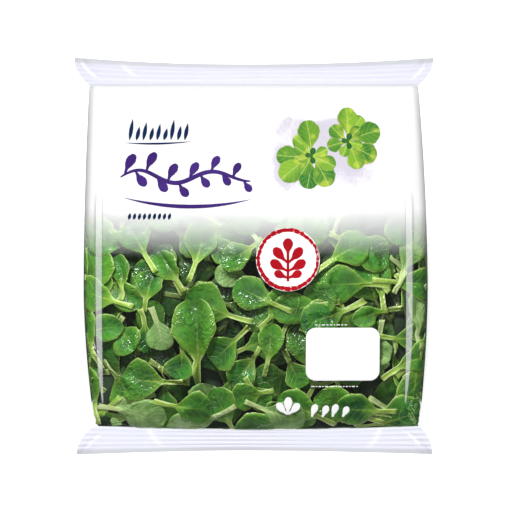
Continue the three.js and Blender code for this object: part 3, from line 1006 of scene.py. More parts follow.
# %% The leaves that show on top, from the lowest to the highest
TopLeaf = namedtuple("TopLeaf", "tip stalk_end width fold shows_back tone")
TOP_LEAVES = [TopLeaf(*leaf) for leaf in (
    # upper left, under the fading ink
    ((112, 254), (113, 213), 40, 0.4, False, 0.3),
    ((205, 218), (240, 196), 30, 0.5, False, 0.2),
    ((243, 249), (203, 214), 32, 0.5, False, 0.25),
    ((196, 252), (165, 224), 28, 0.5, False, 0.2),
    ((232, 260), (190, 226), 25, 0.5, False, 0.3),
    ((135, 305), (83, 272), 28, 0.6, False, 0.5),
    ((114, 255), (117, 301), 21, 0.7, False, 0.3),
    ((148, 270), (138, 312), 30, 0.5, False, 0.2),
    ((153, 253), (180, 292), 27, 0.9, False, 0.5),
    # upper middle
    ((213, 273), (266, 282), 24, 0.4, True, 0.6),
    ((222, 265), (264, 240), 28, 0.7, False, 0.35),
    ((181, 299), (252, 324), 45, 0.15, False, 0.6),
    # upper right
    ((330, 226), (391, 244), 38, 0.3, False, 0.25),
    ((310, 240), (300, 205), 30, 0.4, False, 0.2),
    ((426, 274), (398, 258), 18, 0.6, True, 0.8),
    ((425, 314), (404, 274), 26, 0.5, False, 0.4),
    ((386, 262), (389, 312), 20, 0.8, False, 0.6),
    ((360, 260), (394, 292), 26, 0.6, False, 0.2),
    ((321, 263), (308, 302), 28, 0.3, False, 0.7),
    ((356, 320), (408, 308), 21, 0.5, False, 0.6),
    ((329, 286), (304, 331), 34, 0.3, False, 0.5),
    ((327, 283), (395, 285), 38, 0.12, False, 0.45),
    # the middle, left of the date panel
    ((232, 388), (262, 348), 32, 0.4, False, 0.2),
    ((267, 410), (244, 378), 24, 0.5, False, 0.3),
    ((306, 388), (286, 350), 28, 0.4, False, 0.6),
    ((208, 364), (249, 327), 37, 0.25, False, 0.35),
    ((295, 292), (260, 330), 34, 0.2, False, 0.5),
    ((275, 324), (266, 378), 26, 0.35, False, 0.8),
    # left
    ((141, 355), (136, 309), 16, 0.8, False, 0.1),
    ((159, 350), (146, 307), 26, 0.3, True, 0.6),
    ((131, 350), (97, 317), 33, 0.3, False, 0.5),
    ((175, 380), (179, 339), 32, 0.35, False, 0.1),
    ((192, 298), (194, 390), 45, 0.6, False, 0.6),
    ((128, 408), (91, 361), 30, 0.4, False, 0.6),
    ((103, 425), (142, 418), 20, 0.6, False, 0.7),
    ((111, 412), (147, 396), 18, 0.8, True, 0.8),
    ((114, 381), (181, 384), 43, 0.08, False, 0.45),
    # bottom left
    ((176, 413), (178, 444), 30, 0.3, True, 0.7),
    ((213, 388), (183, 430), 36, 0.2, True, 0.6),
    ((231, 400), (275, 391), 28, 0.4, False, 0.6),
    ((211, 390), (238, 444), 34, 0.15, False, 0.45),
    # bottom right
    ((396, 372), (376, 365), 15, 0.4, True, 0.8),
    ((388, 365), (385, 320), 18, 0.8, True, 0.6),
    ((421, 420), (370, 418), 31, 0.25, False, 0.35),
    ((271, 425), (301, 391), 29, 0.3, False, 0.6),
    ((302, 431), (307, 396), 28, 0.3, False, 0.6),
    ((343, 393), (352, 425), 18, 0.6, False, 0.7),
    ((415, 395), (403, 337), 27, 0.25, False, 0.8),
)]
TOP_TILT = 0.28
TOP_FOLD = 1.3  # the chosen leaves' folds are this much deeper, and their blades as much wider
TOP_ROOM = (3.0, 0.6)  # mm that the first and the last chosen leaf keep below the film
DEEPEST_FOLD = 1.0  # radians
TOP_LOWEST = -6.0  # the chosen leaves lie at least this near the film
FRONT_REACH = 112  # mm round the section that face the front
FINEST = (28, 15)  # rows and columns of a leaf


def round_front(x, y):
    """Distance round the section to a place on the front film."""
    row = front_inside.film[int(round(np.clip(y, *Y_LIMITS))) - Y_LIMITS[0]]
    facing = slice(REACH_ROUND - FRONT_REACH, REACH_ROUND + FRONT_REACH + 1)
    return float(np.interp(x, row[facing, 0], np.arange(-FRONT_REACH, FRONT_REACH + 1)))


def lay_top_leaves(heap):
    """Lays the chosen leaves in their order, each at the length that its two pixels give it."""
    missing = 0
    ceilings = -np.linspace(*TOP_ROOM, len(TOP_LEAVES))
    for leaf, ceiling in zip(TOP_LEAVES, ceilings):
        tip, stalk_end = from_photo(*leaf.tip), from_photo(*leaf.stalk_end)
        places = [np.array([round_front(*p), p[1]]) for p in (tip, stalk_end)]
        length = np.linalg.norm(places[0] - places[1])
        fold = min(leaf.fold * TOP_FOLD, DEEPEST_FOLD)
        shape = random_shape(length, leaf.width * PIXEL / math.cos(fold), fold)
        tilt = rng.uniform(-TOP_TILT, TOP_TILT, 2)
        missing += not lay_leaf(heap, shape, *places, tilt, ceiling, leaf.tone, leaf.shows_back,
                                *FINEST, TOP_LOWEST)
    return missing


middle_parts = list(front_heap.parts)
front_heap.parts.clear()
print(f"chosen leaves: {len(TOP_LEAVES)}, of which {lay_top_leaves(front_heap)} found no room")
ALONG_SEAL = (-0.5, 0.5)
NEAR_FILM = -2.5  # leaves at the edges of the window lie at least this near the film
FINE = (24, 11)
EDGE_LAYERS = (  # as above, then the range of turns, the gaps that are filled and the lowest place
    ((-122, -96), (-97, 34), 12, 0.0, 0.15, *FINE, ANY_WAY, -3.5, NEAR_FILM),
    ((98, 123), (-97, 34), 12, 0.0, 0.15, *FINE, ANY_WAY, -3.5, NEAR_FILM),
    ((-98, 99), (-99, -87), 8, 0.0, 0.15, *FINE, ALONG_SEAL, -3.5, NEAR_FILM),
    ((-98, 99), (-100, -92), 7, 0.0, 0.15, *FINE, ALONG_SEAL, -4.5, NEAR_FILM),
    ((-88, 89), (8, 42), 17, 0.0, 0.2, *FINE, ANY_WAY, -6.0, NEAR_FILM),
    ((-80, 81), (44, 97), 26, 0.0, 0.25),
)
DEEP_GAPS = ((-94, 95), (-94, 0), 18, -3.5, 0.4, 20, 9, ANY_WAY, -8.0)
edge_counts = [scatter(front_heap, *layer) for layer in EDGE_LAYERS]
top_parts = list(front_heap.parts)
front_heap.parts.clear()
gap_count = scatter(front_heap, *DEEP_GAPS)
middle_parts += front_heap.parts
print(f"random leaves at the window's edges and behind the ink: {edge_counts}, in deep gaps: {gap_count}")

# %% [markdown]
# ## The finish of a leaf
#
# A fresh leaf is waxy and a little moist, so it is half glossy, and light shines through
# its blade. Its blade is mid green, darker in patches between the veins and yellower
# towards the stalk, with a thin pale rim. The stalk and midrib are pale yellow green,
# and the under side is a matt grey green. All of it is drawn from where a point lies on
# its own leaf: along it, across it, and millimetres to the side of its midrib.

# %% Leaf and core materials
PATCH_SCALE = 120  # lumps to the metre of the patches of colour on a blade
MOTTLE_SCALE = 430
WET_SCALE = 46
FINE_SCALE = 520  # of the net of fine veins and of the bumps where a leaf is wet
LEAF_IOR = 1.45  # of its wax and of the water on it


def side_veins(material, along, from_middle, count, sweep, width, strength=1.0, wander=0.0):
    """Lines that leave the midrib at even steps and sweep towards the tip: count times the share
    along the leaf, less sweep times the share from its middle, with a line at each whole number."""
    run = maths(material, "MULTIPLY", along, count)
    run = maths(material, "SUBTRACT", run, maths(material, "MULTIPLY", from_middle, sweep))
    run = maths(material, "ADD", run, wander)
    return ranged(material, maths(material, "PINGPONG", run, 0.5), 0.0, width, strength, 0.0)


def pale_parts(material, along, side):
    """1 on the stalk and the midrib, which narrows towards the tip, and 0 on the blade."""
    rib_width = ranged(material, along, 0.3, 0.95, 1.1, 0.2)
    from_rib = maths(material, "DIVIDE", maths(material, "ABSOLUTE", side), rib_width)
    rib = ranged(material, from_rib, 0.25, 1.0, 1.0, 0.0)
    rib = maths(material, "MULTIPLY", rib, ranged(material, along, 0.35, 0.9, 0.85, 0.2))
    return maths(material, "MAXIMUM", ranged(material, along, 0.28, 0.42, 1.0, 0.0), rib)


def leaf_material():
    """Lamb's lettuce: waxy, half glossy and a little translucent."""
    material = new_material("fresh_leaf")
    along, across, side, is_back, tone, depth = (
        attribute(material, f"leaf_{key}") for key in ("along", "across", "side", "back", "tone", "depth"))
    place = add(material, "ShaderNodeTexCoord").outputs["Object"]
    patches = noise(material, PATCH_SCALE, 3)
    mottle = noise(material, MOTTLE_SCALE, 2)
    wet = ranged(material, noise(material, WET_SCALE, 1), 0.52, 0.6)
    net = add(material, "ShaderNodeTexVoronoi", {"Vector": place, "Scale": FINE_SCALE},
              feature="DISTANCE_TO_EDGE").outputs[0]
    fine_vein = ranged(material, net, 0.0, 0.09, 1.0, 0.0)
    from_middle = maths(material, "ABSOLUTE", across)
    wander = maths(material, "MULTIPLY", patches, 0.9)
    vein = side_veins(material, along, from_middle, 9.0, 2.0, 0.1, wander=wander)
    vein = maths(material, "MULTIPLY", vein, ranged(material, along, 0.33, 0.5))
    pale = pale_parts(material, along, side)

    # The upper side, from its green to its pale parts
    green = blended(material, ranged(material, patches, 0.4, 0.58), colour("#175A2E"), colour("#439636"))
    green = layered(material, green, (
        (maths(material, "MULTIPLY", tone, 0.5), "#86C63A"),
        (ranged(material, mottle, 0.46, 0.62, 0.0, 0.42), "#2A7636"),
        (ranged(material, along, 0.28, 0.6, 0.8, 0.0), "#A0CE46"),
        (ranged(material, from_middle, 0.45, 1.0, 0.0, 0.5), "#88C23F"),
        (maths(material, "MULTIPLY", vein, 0.45), "#A9D66C"),
        (ranged(material, from_middle, 0.9, 1.0, 0.0, 0.8), "#D2EA8A"),
    ))
    to_rim = ranged(material, from_middle, 0.3, 1.0)
    upper = blended(material, pale, green, blended(material, to_rim, colour("#B0D25A"), colour("#E9F7AE")))

    # The under side, and the shade on leaves that lie deep
    under = blended(material, ranged(material, patches, 0.38, 0.6), colour("#84B660"), colour("#B0D886"))
    under = layered(material, under, (
        (maths(material, "MULTIPLY", fine_vein, 0.3), "#C2D9A0"),
        (maths(material, "MULTIPLY", vein, 0.5), "#BFD89C"),
        (pale, "#D6E6A6"),
    ))
    face = blended(material, is_back, upper, under)
    face = layered(material, face, ((ranged(material, depth, 0.12, 0.68, 0.0, 0.9), "#12301A"),))

    # Sunk veins, a puckered blade and fine bumps where it is wet
    wet_bumps = maths(material, "MULTIPLY", noise(material, FINE_SCALE, 1), wet)
    height = maths(material, "MULTIPLY", patches, 3.0)
    for part, strength in ((vein, -0.9), (fine_vein, -0.08), (wet_bumps, 2.4)):
        height = maths(material, "ADD", height, maths(material, "MULTIPLY", part, strength))
    bump = add(material, "ShaderNodeBump", {"Height": height, "Strength": 0.6, "Distance": 0.0008})
    rough = ranged(material, patches, 0.42, 0.58, 0.42, 0.3)
    for part, strength in ((wet, -0.2), (is_back, 0.15)):
        rough = maths(material, "ADD", rough, maths(material, "MULTIPLY", part, strength))
    blade = add(material, "ShaderNodeBsdfPrincipled", {
        "Base Color": face, "Roughness": rough, "IOR": LEAF_IOR, "Normal": bump.outputs[0],
        "Coat Weight": wet, "Coat Roughness": 0.16, "Coat IOR": LEAF_IOR, "Coat Normal": bump.outputs[0]})
    shone_through = blended(material, 0.5, face, colour("#8FC238"))
    glow = add(material, "ShaderNodeBsdfTranslucent", {"Color": shone_through})
    return finished(material, mixed(material, 0.2, blade, glow))


def core_material():
    """The inside of the heap, in the shade of the leaves over it: nearly black green."""
    material = new_material("leaves_in_deep_shade")
    clumps = ranged(material, noise(material, 110, 4), 0.35, 0.65)
    shade = blended(material, clumps, colour("#101F12"), colour("#1F3B1D"))
    return finished(material, add(material, "ShaderNodeBsdfPrincipled", {
        "Base Color": shade, "Roughness": 0.7}))


# %% Leaves and core as pieces
LEAF_FACTS = ("leaf_along", "leaf_across", "leaf_side", "leaf_depth", "leaf_back", "leaf_tone")


def gathered(parts, keys):
    """The surfaces of many parts as one, and their attributes in the same order."""
    facts = {key: np.concatenate([part[1][key] for part in parts]) for key in keys}
    return joined([part[0] for part in parts]), facts


def leaf_piece(name, parts, material):
    """One piece from many laid leaves."""
    surface, facts = gathered(parts, LEAF_FACTS)
    return new_piece(name, surface, [material], facts)


CORE_GRID = (94, 90)  # points round and along
CORE_REACH = 104.0  # mm round the section to each side
CORE_ENDS = (-104, 102)
CORE_DEPTHS = (0.86, 0.36, 0.2)  # shares of the room: near the middle, at the sides, at the low corners
CORE_SIDES = (80, 98)  # mm round the section over which it changes
CORE_CORNERS = (70, 84)  # and mm below the middle
CORE_LOWER = 1.5  # mm that the core lies below the floor of the heaps


def core_surface():
    """The heap's hidden middle: the section's loop, under the heaps' floor, with lumps a leaf long.
    It comes nearer to the film at the sides, where fewer leaves lie over each other."""
    halves = []
    for inside, deepest in ((front_inside, DEEPEST["front"]), (back_inside, DEEPEST["back"])):
        a, y = np.meshgrid(np.linspace(-CORE_REACH, CORE_REACH, CORE_GRID[0]),
                           np.linspace(*CORE_ENDS, CORE_GRID[1]))
        y = held_inside(a, y)
        at_side = mix(*CORE_DEPTHS[1:], soft_step(-y, *CORE_CORNERS))
        share = mix(CORE_DEPTHS[0], at_side, soft_step(np.abs(a), *CORE_SIDES))
        lumps = np.sin(a / 5.1 + np.sin(y / 7.0)) * np.sin(y / 4.6 + np.sin(a / 6.0))
        depth = np.minimum(deepest + CORE_LOWER + lumps, sample(inside.room, a, y) * share)
        halves.append(inside_point(inside, a, y, depth))
    return closed_sheet(halves[0], halves[1][:, ::-1])


leaf_finish = leaf_material()
leaf_pieces = [
    leaf_piece("leaves_on_top", top_parts, leaf_finish),
    leaf_piece("leaves_below", middle_parts, leaf_finish),
    leaf_piece("leaves_at_back", back_heap.parts, leaf_finish),
]
leaf_pieces.append(new_piece("heap_core", core_surface(), [core_material()]))

# %% [markdown]
# ## Ink on the film
#
# The print is a few flat colours under the gloss of the film. Each mark is a thin closed
# sheet that follows the film, built as a path with a width: a bar has an even width, a
# disc's width is a circle's, a leaf's is a spoon's and a brush stroke's tapers. The
# marks are plain ones: two rosettes of leaves, a leafy scroll, slim blades, seeds, sprigs
# and a panel.

# %% A mark as a path with a width
INK_THICKNESS = 0.05
INK_LIFT = 0.14
FINEST_HALF_WIDTH = 0.02
PRINTED_STALK = 0.22  # share of a printed leaf's length
SLIM_STALK = (0.8, 0.4)  # share of a stalk's half width that is lost at its base, and s where none is
FINEST_LEAF = 0.05


def mark(path, half_widths, lift=INK_LIFT, columns=7, thickness=INK_THICKNESS):
    """A thin closed sheet over the film: path is (n, 2) in mm and half_widths has n values.
    Each point is the path's point plus its normal times c times the half width."""
    path = np.asarray(path, float)
    along = np.gradient(path, axis=0)
    along /= np.linalg.norm(along, axis=1)[:, None]
    to_right = np.stack([along[:, 1], -along[:, 0]], axis=1)
    c = np.linspace(-1, 1, columns)[None, :, None]
    flat = path[:, None, :] + to_right[:, None, :] * c * np.asarray(half_widths)[:, None, None]
    height = front_height(flat[..., 0], flat[..., 1])
    lower = np.concatenate([flat, (height + lift)[..., None]], axis=-1)
    upper = lower + np.array([0, 0, thickness])
    return closed_sheet(upper, lower)


def line(start, end, steps):
    """Points on a straight line, crowded at both ends, where round shapes curve most."""
    t = (1 - np.cos(np.linspace(0, math.pi, steps))) / 2
    return mix(np.array(start, float), np.array(end, float), t[:, None])


def rounded_bar(start, end, radius, corner=None, steps=40, columns=7, **settings):
    """A bar with round corners: its half width is the radius, less a circle's drop at the corners."""
    corner = radius if corner is None else corner
    path = line(start, end, steps)
    from_end = np.minimum(np.linalg.norm(path - path[0], axis=1), np.linalg.norm(path - path[-1], axis=1))
    drop = corner - np.sqrt(np.maximum(0, corner ** 2 - np.maximum(0, corner - from_end) ** 2))
    return mark(path, np.maximum(radius - drop, FINEST_HALF_WIDTH), columns=columns, **settings)


def disc(centre, radius, steps=40, columns=25, **settings):
    """A disc is a bar as long as it is wide."""
    x, y = centre
    return rounded_bar((x - radius, y), (x + radius, y), radius, None, steps, columns, **settings)


def spoon_leaf(base, tip, width, bend=0.0, steps=36, columns=9, **settings):
    """A printed leaf: a curved midrib from base to tip, and the real leaf's outline scaled to it."""
    base, tip = np.array(base, float), np.array(tip, float)
    length = np.linalg.norm(tip - base)
    shape = LeafShape(length, width, 0, 0, 0, 0, 0, 0, PRINTED_STALK)
    s = 1 - (1 - np.linspace(0, 1, steps)) ** TIP_CROWDING
    sideways = np.array([base[1] - tip[1], tip[0] - base[0]]) / length
    path = mix(base, tip, s[:, None]) + sideways * (bend * length * (s * (1 - s)))[:, None]
    slimmer = STALK_HALF_WIDTH * SLIM_STALK[0] * np.maximum(0, 1 - s / SLIM_STALK[1])
    widths = leaf_half_width(s, shape) - slimmer
    surface = mark(path, np.maximum(widths, FINEST_LEAF), columns=columns, **settings)
    both = np.concatenate([np.repeat(s, columns)] * 2)
    c = np.tile(np.linspace(-1, 1, columns), 2 * steps)
    sides = np.concatenate([np.repeat(widths, columns)] * 2) * c
    return surface, {"leaf_along": both, "leaf_across": c, "leaf_side": sides}


# %% Ink materials
def ink_material(name, first, second, roughness=0.3):
    """Flexographic ink under gloss film: an even colour that drifts a little from first to second."""
    material = new_material(name)
    drift = ranged(material, noise(material, 60, 2), 0.35, 0.65)
    ink = add(material, "ShaderNodeBsdfPrincipled", {
        "Base Color": blended(material, drift, colour(first), colour(second)),
        "Roughness": roughness, "IOR": FILM_IOR, "Coat Weight": 0.15, "Coat Roughness": 0.1})
    return finished(material, ink)


def printed_leaf_material():
    """Green ink shaded like a leaf: yellow light in patches and at its base, and a thin pale rim.
    A tone below 0 stands for the dark heart of a rosette."""
    material = new_material("printed_leaf_green")
    along, across, side, tone = (
        attribute(material, f"leaf_{key}") for key in ("along", "across", "side", "tone"))
    patches = noise(material, PATCH_SCALE, 1)
    from_middle = maths(material, "ABSOLUTE", across)
    vein = side_veins(material, along, from_middle, 7.0, 1.8, 0.16, 0.22)
    rib = ranged(material, maths(material, "ABSOLUTE", side), 0.05, 0.4, 0.6, 0.0)
    edge = ranged(material, from_middle, 0.86, 1.0, 0.0, 0.5)
    green = blended(material, tone, colour("#2C7A2E"), colour("#97C438"))
    green = layered(material, green, (
        (ranged(material, patches, 0.5, 0.64, 0.0, 0.6), "#CBDC4E"),
        (ranged(material, across, -1.0, 0.2, 0.7, 0.0), "#2F7A2C"),
        (ranged(material, along, 0.15, 0.5, 0.6, 0.0), "#B4CC3C"),
        (vein, "#C4DE72"),
        (maths(material, "MAXIMUM", rib, edge), "#CBE27C"),
        (ranged(material, tone, -1.0, -0.2, 0.9, 0.0), "#14602C"),
    ))
    return finished(material, add(material, "ShaderNodeBsdfPrincipled", {
        "Base Color": green, "Roughness": 0.3, "IOR": FILM_IOR}))


def wash_material():
    """Pale lilac ink in thin uneven washes, like water colour, which thin out to nothing at the edge."""
    material = new_material("pale_lilac_wash")
    blotches = noise(material, 42, 3)
    play = maths(material, "MULTIPLY", maths(material, "SUBTRACT", blotches, 0.5), 0.9)
    inside = ranged(material, maths(material, "ADD", attribute(material, "wash_cover"), play), 0.1, 0.75)
    strength = ranged(material, blotches, 0.36, 0.62, 0.15, 0.6)
    ink = add(material, "ShaderNodeBsdfPrincipled", {
        "Base Color": colour("#EBE6F2"), "Roughness": 0.3, "IOR": FILM_IOR})
    cover = maths(material, "MULTIPLY", inside, strength)
    return finished(material, mixed(material, cover, add(material, "ShaderNodeBsdfTransparent"), ink))


# %% White marks: the panel for the date, and small plain marks
PANEL_CENTRE = from_photo(343, 354.5)
PANEL_SIZE = (42.6, 30.8)
PANEL_CORNER = 5.6
DASH_GAP = 0.6
DASH_HALF_HEIGHT = 0.28
white_ink = ink_material("white_flexo_ink", "#FFFFFF", "#FDFDFD")


def dashes(start_x, end_x, y, lengths):
    """A row of fine dashes of these lengths in turn, with gaps between them."""
    made, x = [], start_x
    while x + lengths[len(made) % len(lengths)] <= end_x:
        length = lengths[len(made) % len(lengths)]
        made.append(rounded_bar((x, y), (x + length, y), DASH_HALF_HEIGHT, steps=6, columns=3))
        x += length + DASH_GAP
    return made


panel_half = np.array([PANEL_SIZE[0] / 2, 0])
panel = rounded_bar(PANEL_CENTRE - panel_half, PANEL_CENTRE + panel_half, PANEL_SIZE[1] / 2, PANEL_CORNER,
                    steps=60, columns=31)
new_piece("date_panel", panel, [white_ink])
fine_marks = dashes(35, 54, -39.6, (1.7, 0.9, 2.3, 1.2)) + dashes(33, 62, -75.4, (2.1, 1.0, 1.5, 0.8))
WHITE_LEAVES = (  # base, tip, width and bend: a sprig of three, and a row of four
    ((19.6, -92.0), (19.9, -81.6), 4.4, 0.0),
    ((19.2, -91.6), (13.6, -85.0), 3.8, 0.2),
    ((20.1, -91.6), (26.0, -85.4), 3.8, -0.2),
    ((33.6, -93.4), (36.2, -86.0), 3.4, 0.15),
    ((39.6, -93.4), (42.2, -86.6), 3.4, -0.15),
    ((45.6, -93.4), (48.2, -86.0), 3.4, 0.15),
    ((51.4, -93.4), (54.2, -87.2), 3.2, -0.15),
)
white_leaves = [spoon_leaf(base, tip, width, bend, columns=7)[0] for base, tip, width, bend in WHITE_LEAVES]
new_piece("white_marks", joined(fine_marks + white_leaves), [white_ink])

# %% The purple scroll and its swash
SCROLL_START = np.array([-77.0, 45.5])
SCROLL_LENGTH = 75
SCROLL_SWING = 4.2
SCROLL_LEAVES = 12
SCROLL_TURNS = 1.75
SCROLL_CALMING = 0.4  # share of its swing that the stem has lost at its right end
SCROLL_REACH = {"up": (6.0, 11.5), "down": (6.5, -9.0)}


def scroll_stem(t):
    """The scroll's stem at t from 0 to 1: a sine wave that dies away to the right."""
    x = SCROLL_START[0] + SCROLL_LENGTH * t
    swing = SCROLL_SWING * (1 - SCROLL_CALMING * t) * np.sin(math.tau * SCROLL_TURNS * t)
    return np.stack([x, SCROLL_START[1] + swing], axis=-1)


def scroll_parts():
    """A stem that tapers at both ends, and leaves that leave it above and below in turn."""
    t = np.linspace(0, 1, 90)
    parts = [mark(scroll_stem(t), 0.3 + 1.0 * np.sin(math.pi * t) ** 0.5, columns=5)]
    for k in range(SCROLL_LEAVES):
        base = scroll_stem(np.array((k + 0.4) / SCROLL_LEAVES))
        side = "up" if k % 2 == 0 else "down"
        bend = 0.25 if side == "up" else -0.25
        reach = np.array(SCROLL_REACH[side]) * (1 - 0.03 * k)
        parts.append(spoon_leaf(base, base + reach, 5.0 - 0.12 * k, bend, columns=7)[0])
    return parts


def swash(start, end, sag, half_width, steps=70):
    """A stroke that hangs as a parabola between its ends and tapers to both."""
    t = np.linspace(0, 1, steps)
    path = mix(np.array(start, float), np.array(end, float), t[:, None])
    path[:, 1] -= sag * 4 * t * (1 - t)
    return mark(path, 0.06 + half_width * np.sin(math.pi * t) ** 0.9, columns=5)


new_piece("purple_scroll", joined(scroll_parts() + [swash((-75, 33.6), (-2, 32.4), 4.6, 1.1)]),
          [ink_material("purple_flexo_ink", "#43237C", "#3A1D6E")])

# %% Navy marks: a hedge of slim blades over a line, and a row of seeds
BLADE_HEIGHTS = (12.5, 8.0, 10.5, 7.5, 9.5, 7.0, 12.0, 8.5, 10.0)
blades = [swash((-72.0 + 4.0 * k, 66.8), (-70.2 + 4.0 * k, 66.8 + tall), 0.5, 1.1, 24)
          for k, tall in enumerate(BLADE_HEIGHTS)]
seeds = [swash((-72.2 + 2.9 * k, 20.8), (-71.2 + 2.9 * k, 24.6), 0, 0.85, 20) for k in range(9)]
new_piece("navy_marks", joined([*blades, *seeds, swash((-74.5, 65.4), (-36.5, 66.0), 0.9, 0.5, 40)]),
          [ink_material("navy_flexo_ink", "#0C2654", "#0A2048")])

# %% The pictured rosettes on their lilac wash
PicturedLeaf = namedtuple("PicturedLeaf", "angle length width bend tone")
WASH_LIFT = 0.12
WASH_ENDS = ((6, 58), (76, 59))
WASH_HALF_WIDTH = 26
WASH_SOFT_EDGE = 0.4  # share of its half width and half length over which the wash thins out
LEAF_STEP = 0.018  # each pictured leaf lies this much above the one before
RING_LIFTS = (0.22, 0.46, 0.70)
HEARTS = ((33.0, 57.5), (54.0, 66.0))
OUTER_LEAVES = (  # angle, length, width, bend and tone
    ((262, 19, 12, 0.1, 0.05), (300, 20, 12.5, 0.15, 0.2), (178, 20, 12, 0.12, 0.3),
     (132, 15, 8, -0.15, 0.8), (218, 22, 13, -0.1, 0.75), (98, 21, 12.5, -0.12, 0.45),
     (335, 15, 9, 0.1, 0.6)),
    ((330, 19, 12, -0.1, 0.1), (60, 17, 10, 0.1, 0.9), (20, 20, 13, 0.12, 0.25),
     (92, 20, 11, -0.1, 0.8), (292, 17, 10, 0.12, 0.7), (136, 13, 8.5, 0.1, 0.35)),
)
INNER_LEAVES = (
    ((150, 11, 6.5, 0.12, 0.5), (24, 10, 6, -0.12, 0.9), (240, 12, 7.5, 0.1, 0.4),
     (196, 8, 4.5, 0.1, 0.1)),
    ((48, 11, 7, 0.1, 0.15), (196, 12, 8, -0.1, 0.3), (345, 9, 4.5, 0, 0.9),
     (250, 9, 6, 0.1, 0.75)),
)
HEART_LEAVES = ((70, 5.0, 2.4, 0.1, -1.0), (165, 3.6, 2.0, 0, -1.0), (290, 4.4, 2.2, -0.1, -1.0))


def wash_surface():
    """A soft blob: a bar whose half width wanders like the edge of a water colour. The ink covers it
    fully where it is farther than WASH_SOFT_EDGE from the edge."""
    steps, columns = 60, 41
    path = line(*WASH_ENDS, steps)
    t = np.linspace(0, 1, steps)
    low_x, high_x = WASH_ENDS[0][0], WASH_ENDS[1][0]
    from_end = 1 - np.abs(2 * (path[:, 0] - low_x) / (high_x - low_x) - 1)
    wander = 2.5 * np.sin(9 * t) + 1.5 * np.sin(23 * t + 1)
    half = np.sqrt(np.maximum(0, 1 - (1 - from_end) ** 4)) * (WASH_HALF_WIDTH + wander)
    across = 1 - np.abs(np.linspace(-1, 1, columns))
    long_cover, wide_cover = (soft_step(share, 0, WASH_SOFT_EDGE) for share in (from_end, across))
    surface = mark(path, np.maximum(half, 0.05), lift=WASH_LIFT, columns=columns)
    return surface, {"wash_cover": np.tile((long_cover[:, None] * wide_cover[None, :]).ravel(), 2)}


def rosette_parts():
    """Two hearts with two rings of leaves each: every leaf lies a hair above the one before."""
    parts = []
    rings = (OUTER_LEAVES, INNER_LEAVES, (HEART_LEAVES, HEART_LEAVES))
    for lift, ring_pair in zip(RING_LIFTS, rings):
        leaves = [(heart, PicturedLeaf(*leaf)) for heart, ring in zip(HEARTS, ring_pair) for leaf in ring]
        for k, (heart, leaf) in enumerate(leaves):
            angle = math.radians(leaf.angle)
            tip = np.array(heart) + leaf.length * np.array([math.cos(angle), math.sin(angle)])
            surface, facts = spoon_leaf(heart, tip, leaf.width, leaf.bend, columns=11,
                                        lift=lift + LEAF_STEP * k)
            facts["leaf_tone"] = np.full(len(surface.points), leaf.tone)
            parts.append((surface, facts))
    return parts


wash, wash_facts = wash_surface()
new_piece("lilac_wash", wash, [wash_material()], wash_facts)
rosette, rosette_facts = gathered(rosette_parts(), ("leaf_along", "leaf_across", "leaf_side", "leaf_tone"))
new_piece("pictured_rosette", rosette, [printed_leaf_material()], rosette_facts)

# %% [markdown]
# ## The round label
#
# A white paper disc is stuck over the film, printed with a rough brushed ring. Paper is
# matt beside the film, so it stands out even where both are white. The ring is several
# brush strokes: arcs whose radius and width wander, each a hair above the last.

# %% Label paper, its ring and its mark
LABEL_CENTRE = (label_low + label_high)[:2] / 2
LABEL_RADIUS = (label_high - label_low)[0] / 2
LABEL_LIFT = 0.3
PAPER_THICKNESS = 0.18
RING_LIFT = LABEL_LIFT + PAPER_THICKNESS + 0.02
STROKE_STEP = 0.012  # each stroke of the ring lies this much above the last, and each leaf more so
SPRIG_STEP = 0.03
STROKES = (  # radius in mm, half width in mm, first turn and sweep in turns
    (16.95, 0.95, 0.02, 1.01),
    (16.0, 0.26, 0.08, 0.3),
    (17.85, 0.2, 0.16, 0.24),
    (15.95, 0.3, 0.55, 0.32),
    (17.9, 0.16, 0.62, 0.3),
    (17.8, 0.24, 0.93, 0.16),
)


def paper_material():
    """Coated label paper: white, matt, with a very fine tooth."""
    material = new_material("coated_label_paper")
    tooth = noise(material, 2200, 2)
    white = blended(material, ranged(material, tooth, 0.3, 0.7), colour("#FFFFFF"), colour("#FBFBFA"))
    bump = add(material, "ShaderNodeBump", {"Height": tooth, "Strength": 0.08, "Distance": 0.0001})
    return finished(material, add(material, "ShaderNodeBsdfPrincipled", {
        "Base Color": white, "Roughness": 0.55, "Normal": bump.outputs[0]}))


def brush_stroke(radius, half_width, first, sweep, lift):
    """An arc of the ring whose radius and width wander by sums of sines."""
    turn = math.tau * (first + sweep * np.linspace(0, 1, int(220 * sweep) + 20))
    wander = 0.14 * np.sin(7 * turn + radius) + 0.09 * np.sin(19 * turn)
    path = LABEL_CENTRE + (radius + wander)[:, None] * np.stack([np.cos(turn), np.sin(turn)], axis=1)
    ends = np.sin(math.pi * np.linspace(0, 1, len(turn))) ** 0.25
    ragged = 1 + 0.22 * np.sin(31 * turn) + 0.14 * np.sin(53 * turn + 1)
    return mark(path, np.maximum(half_width * ragged * ends, 0.03), lift=lift, columns=5)


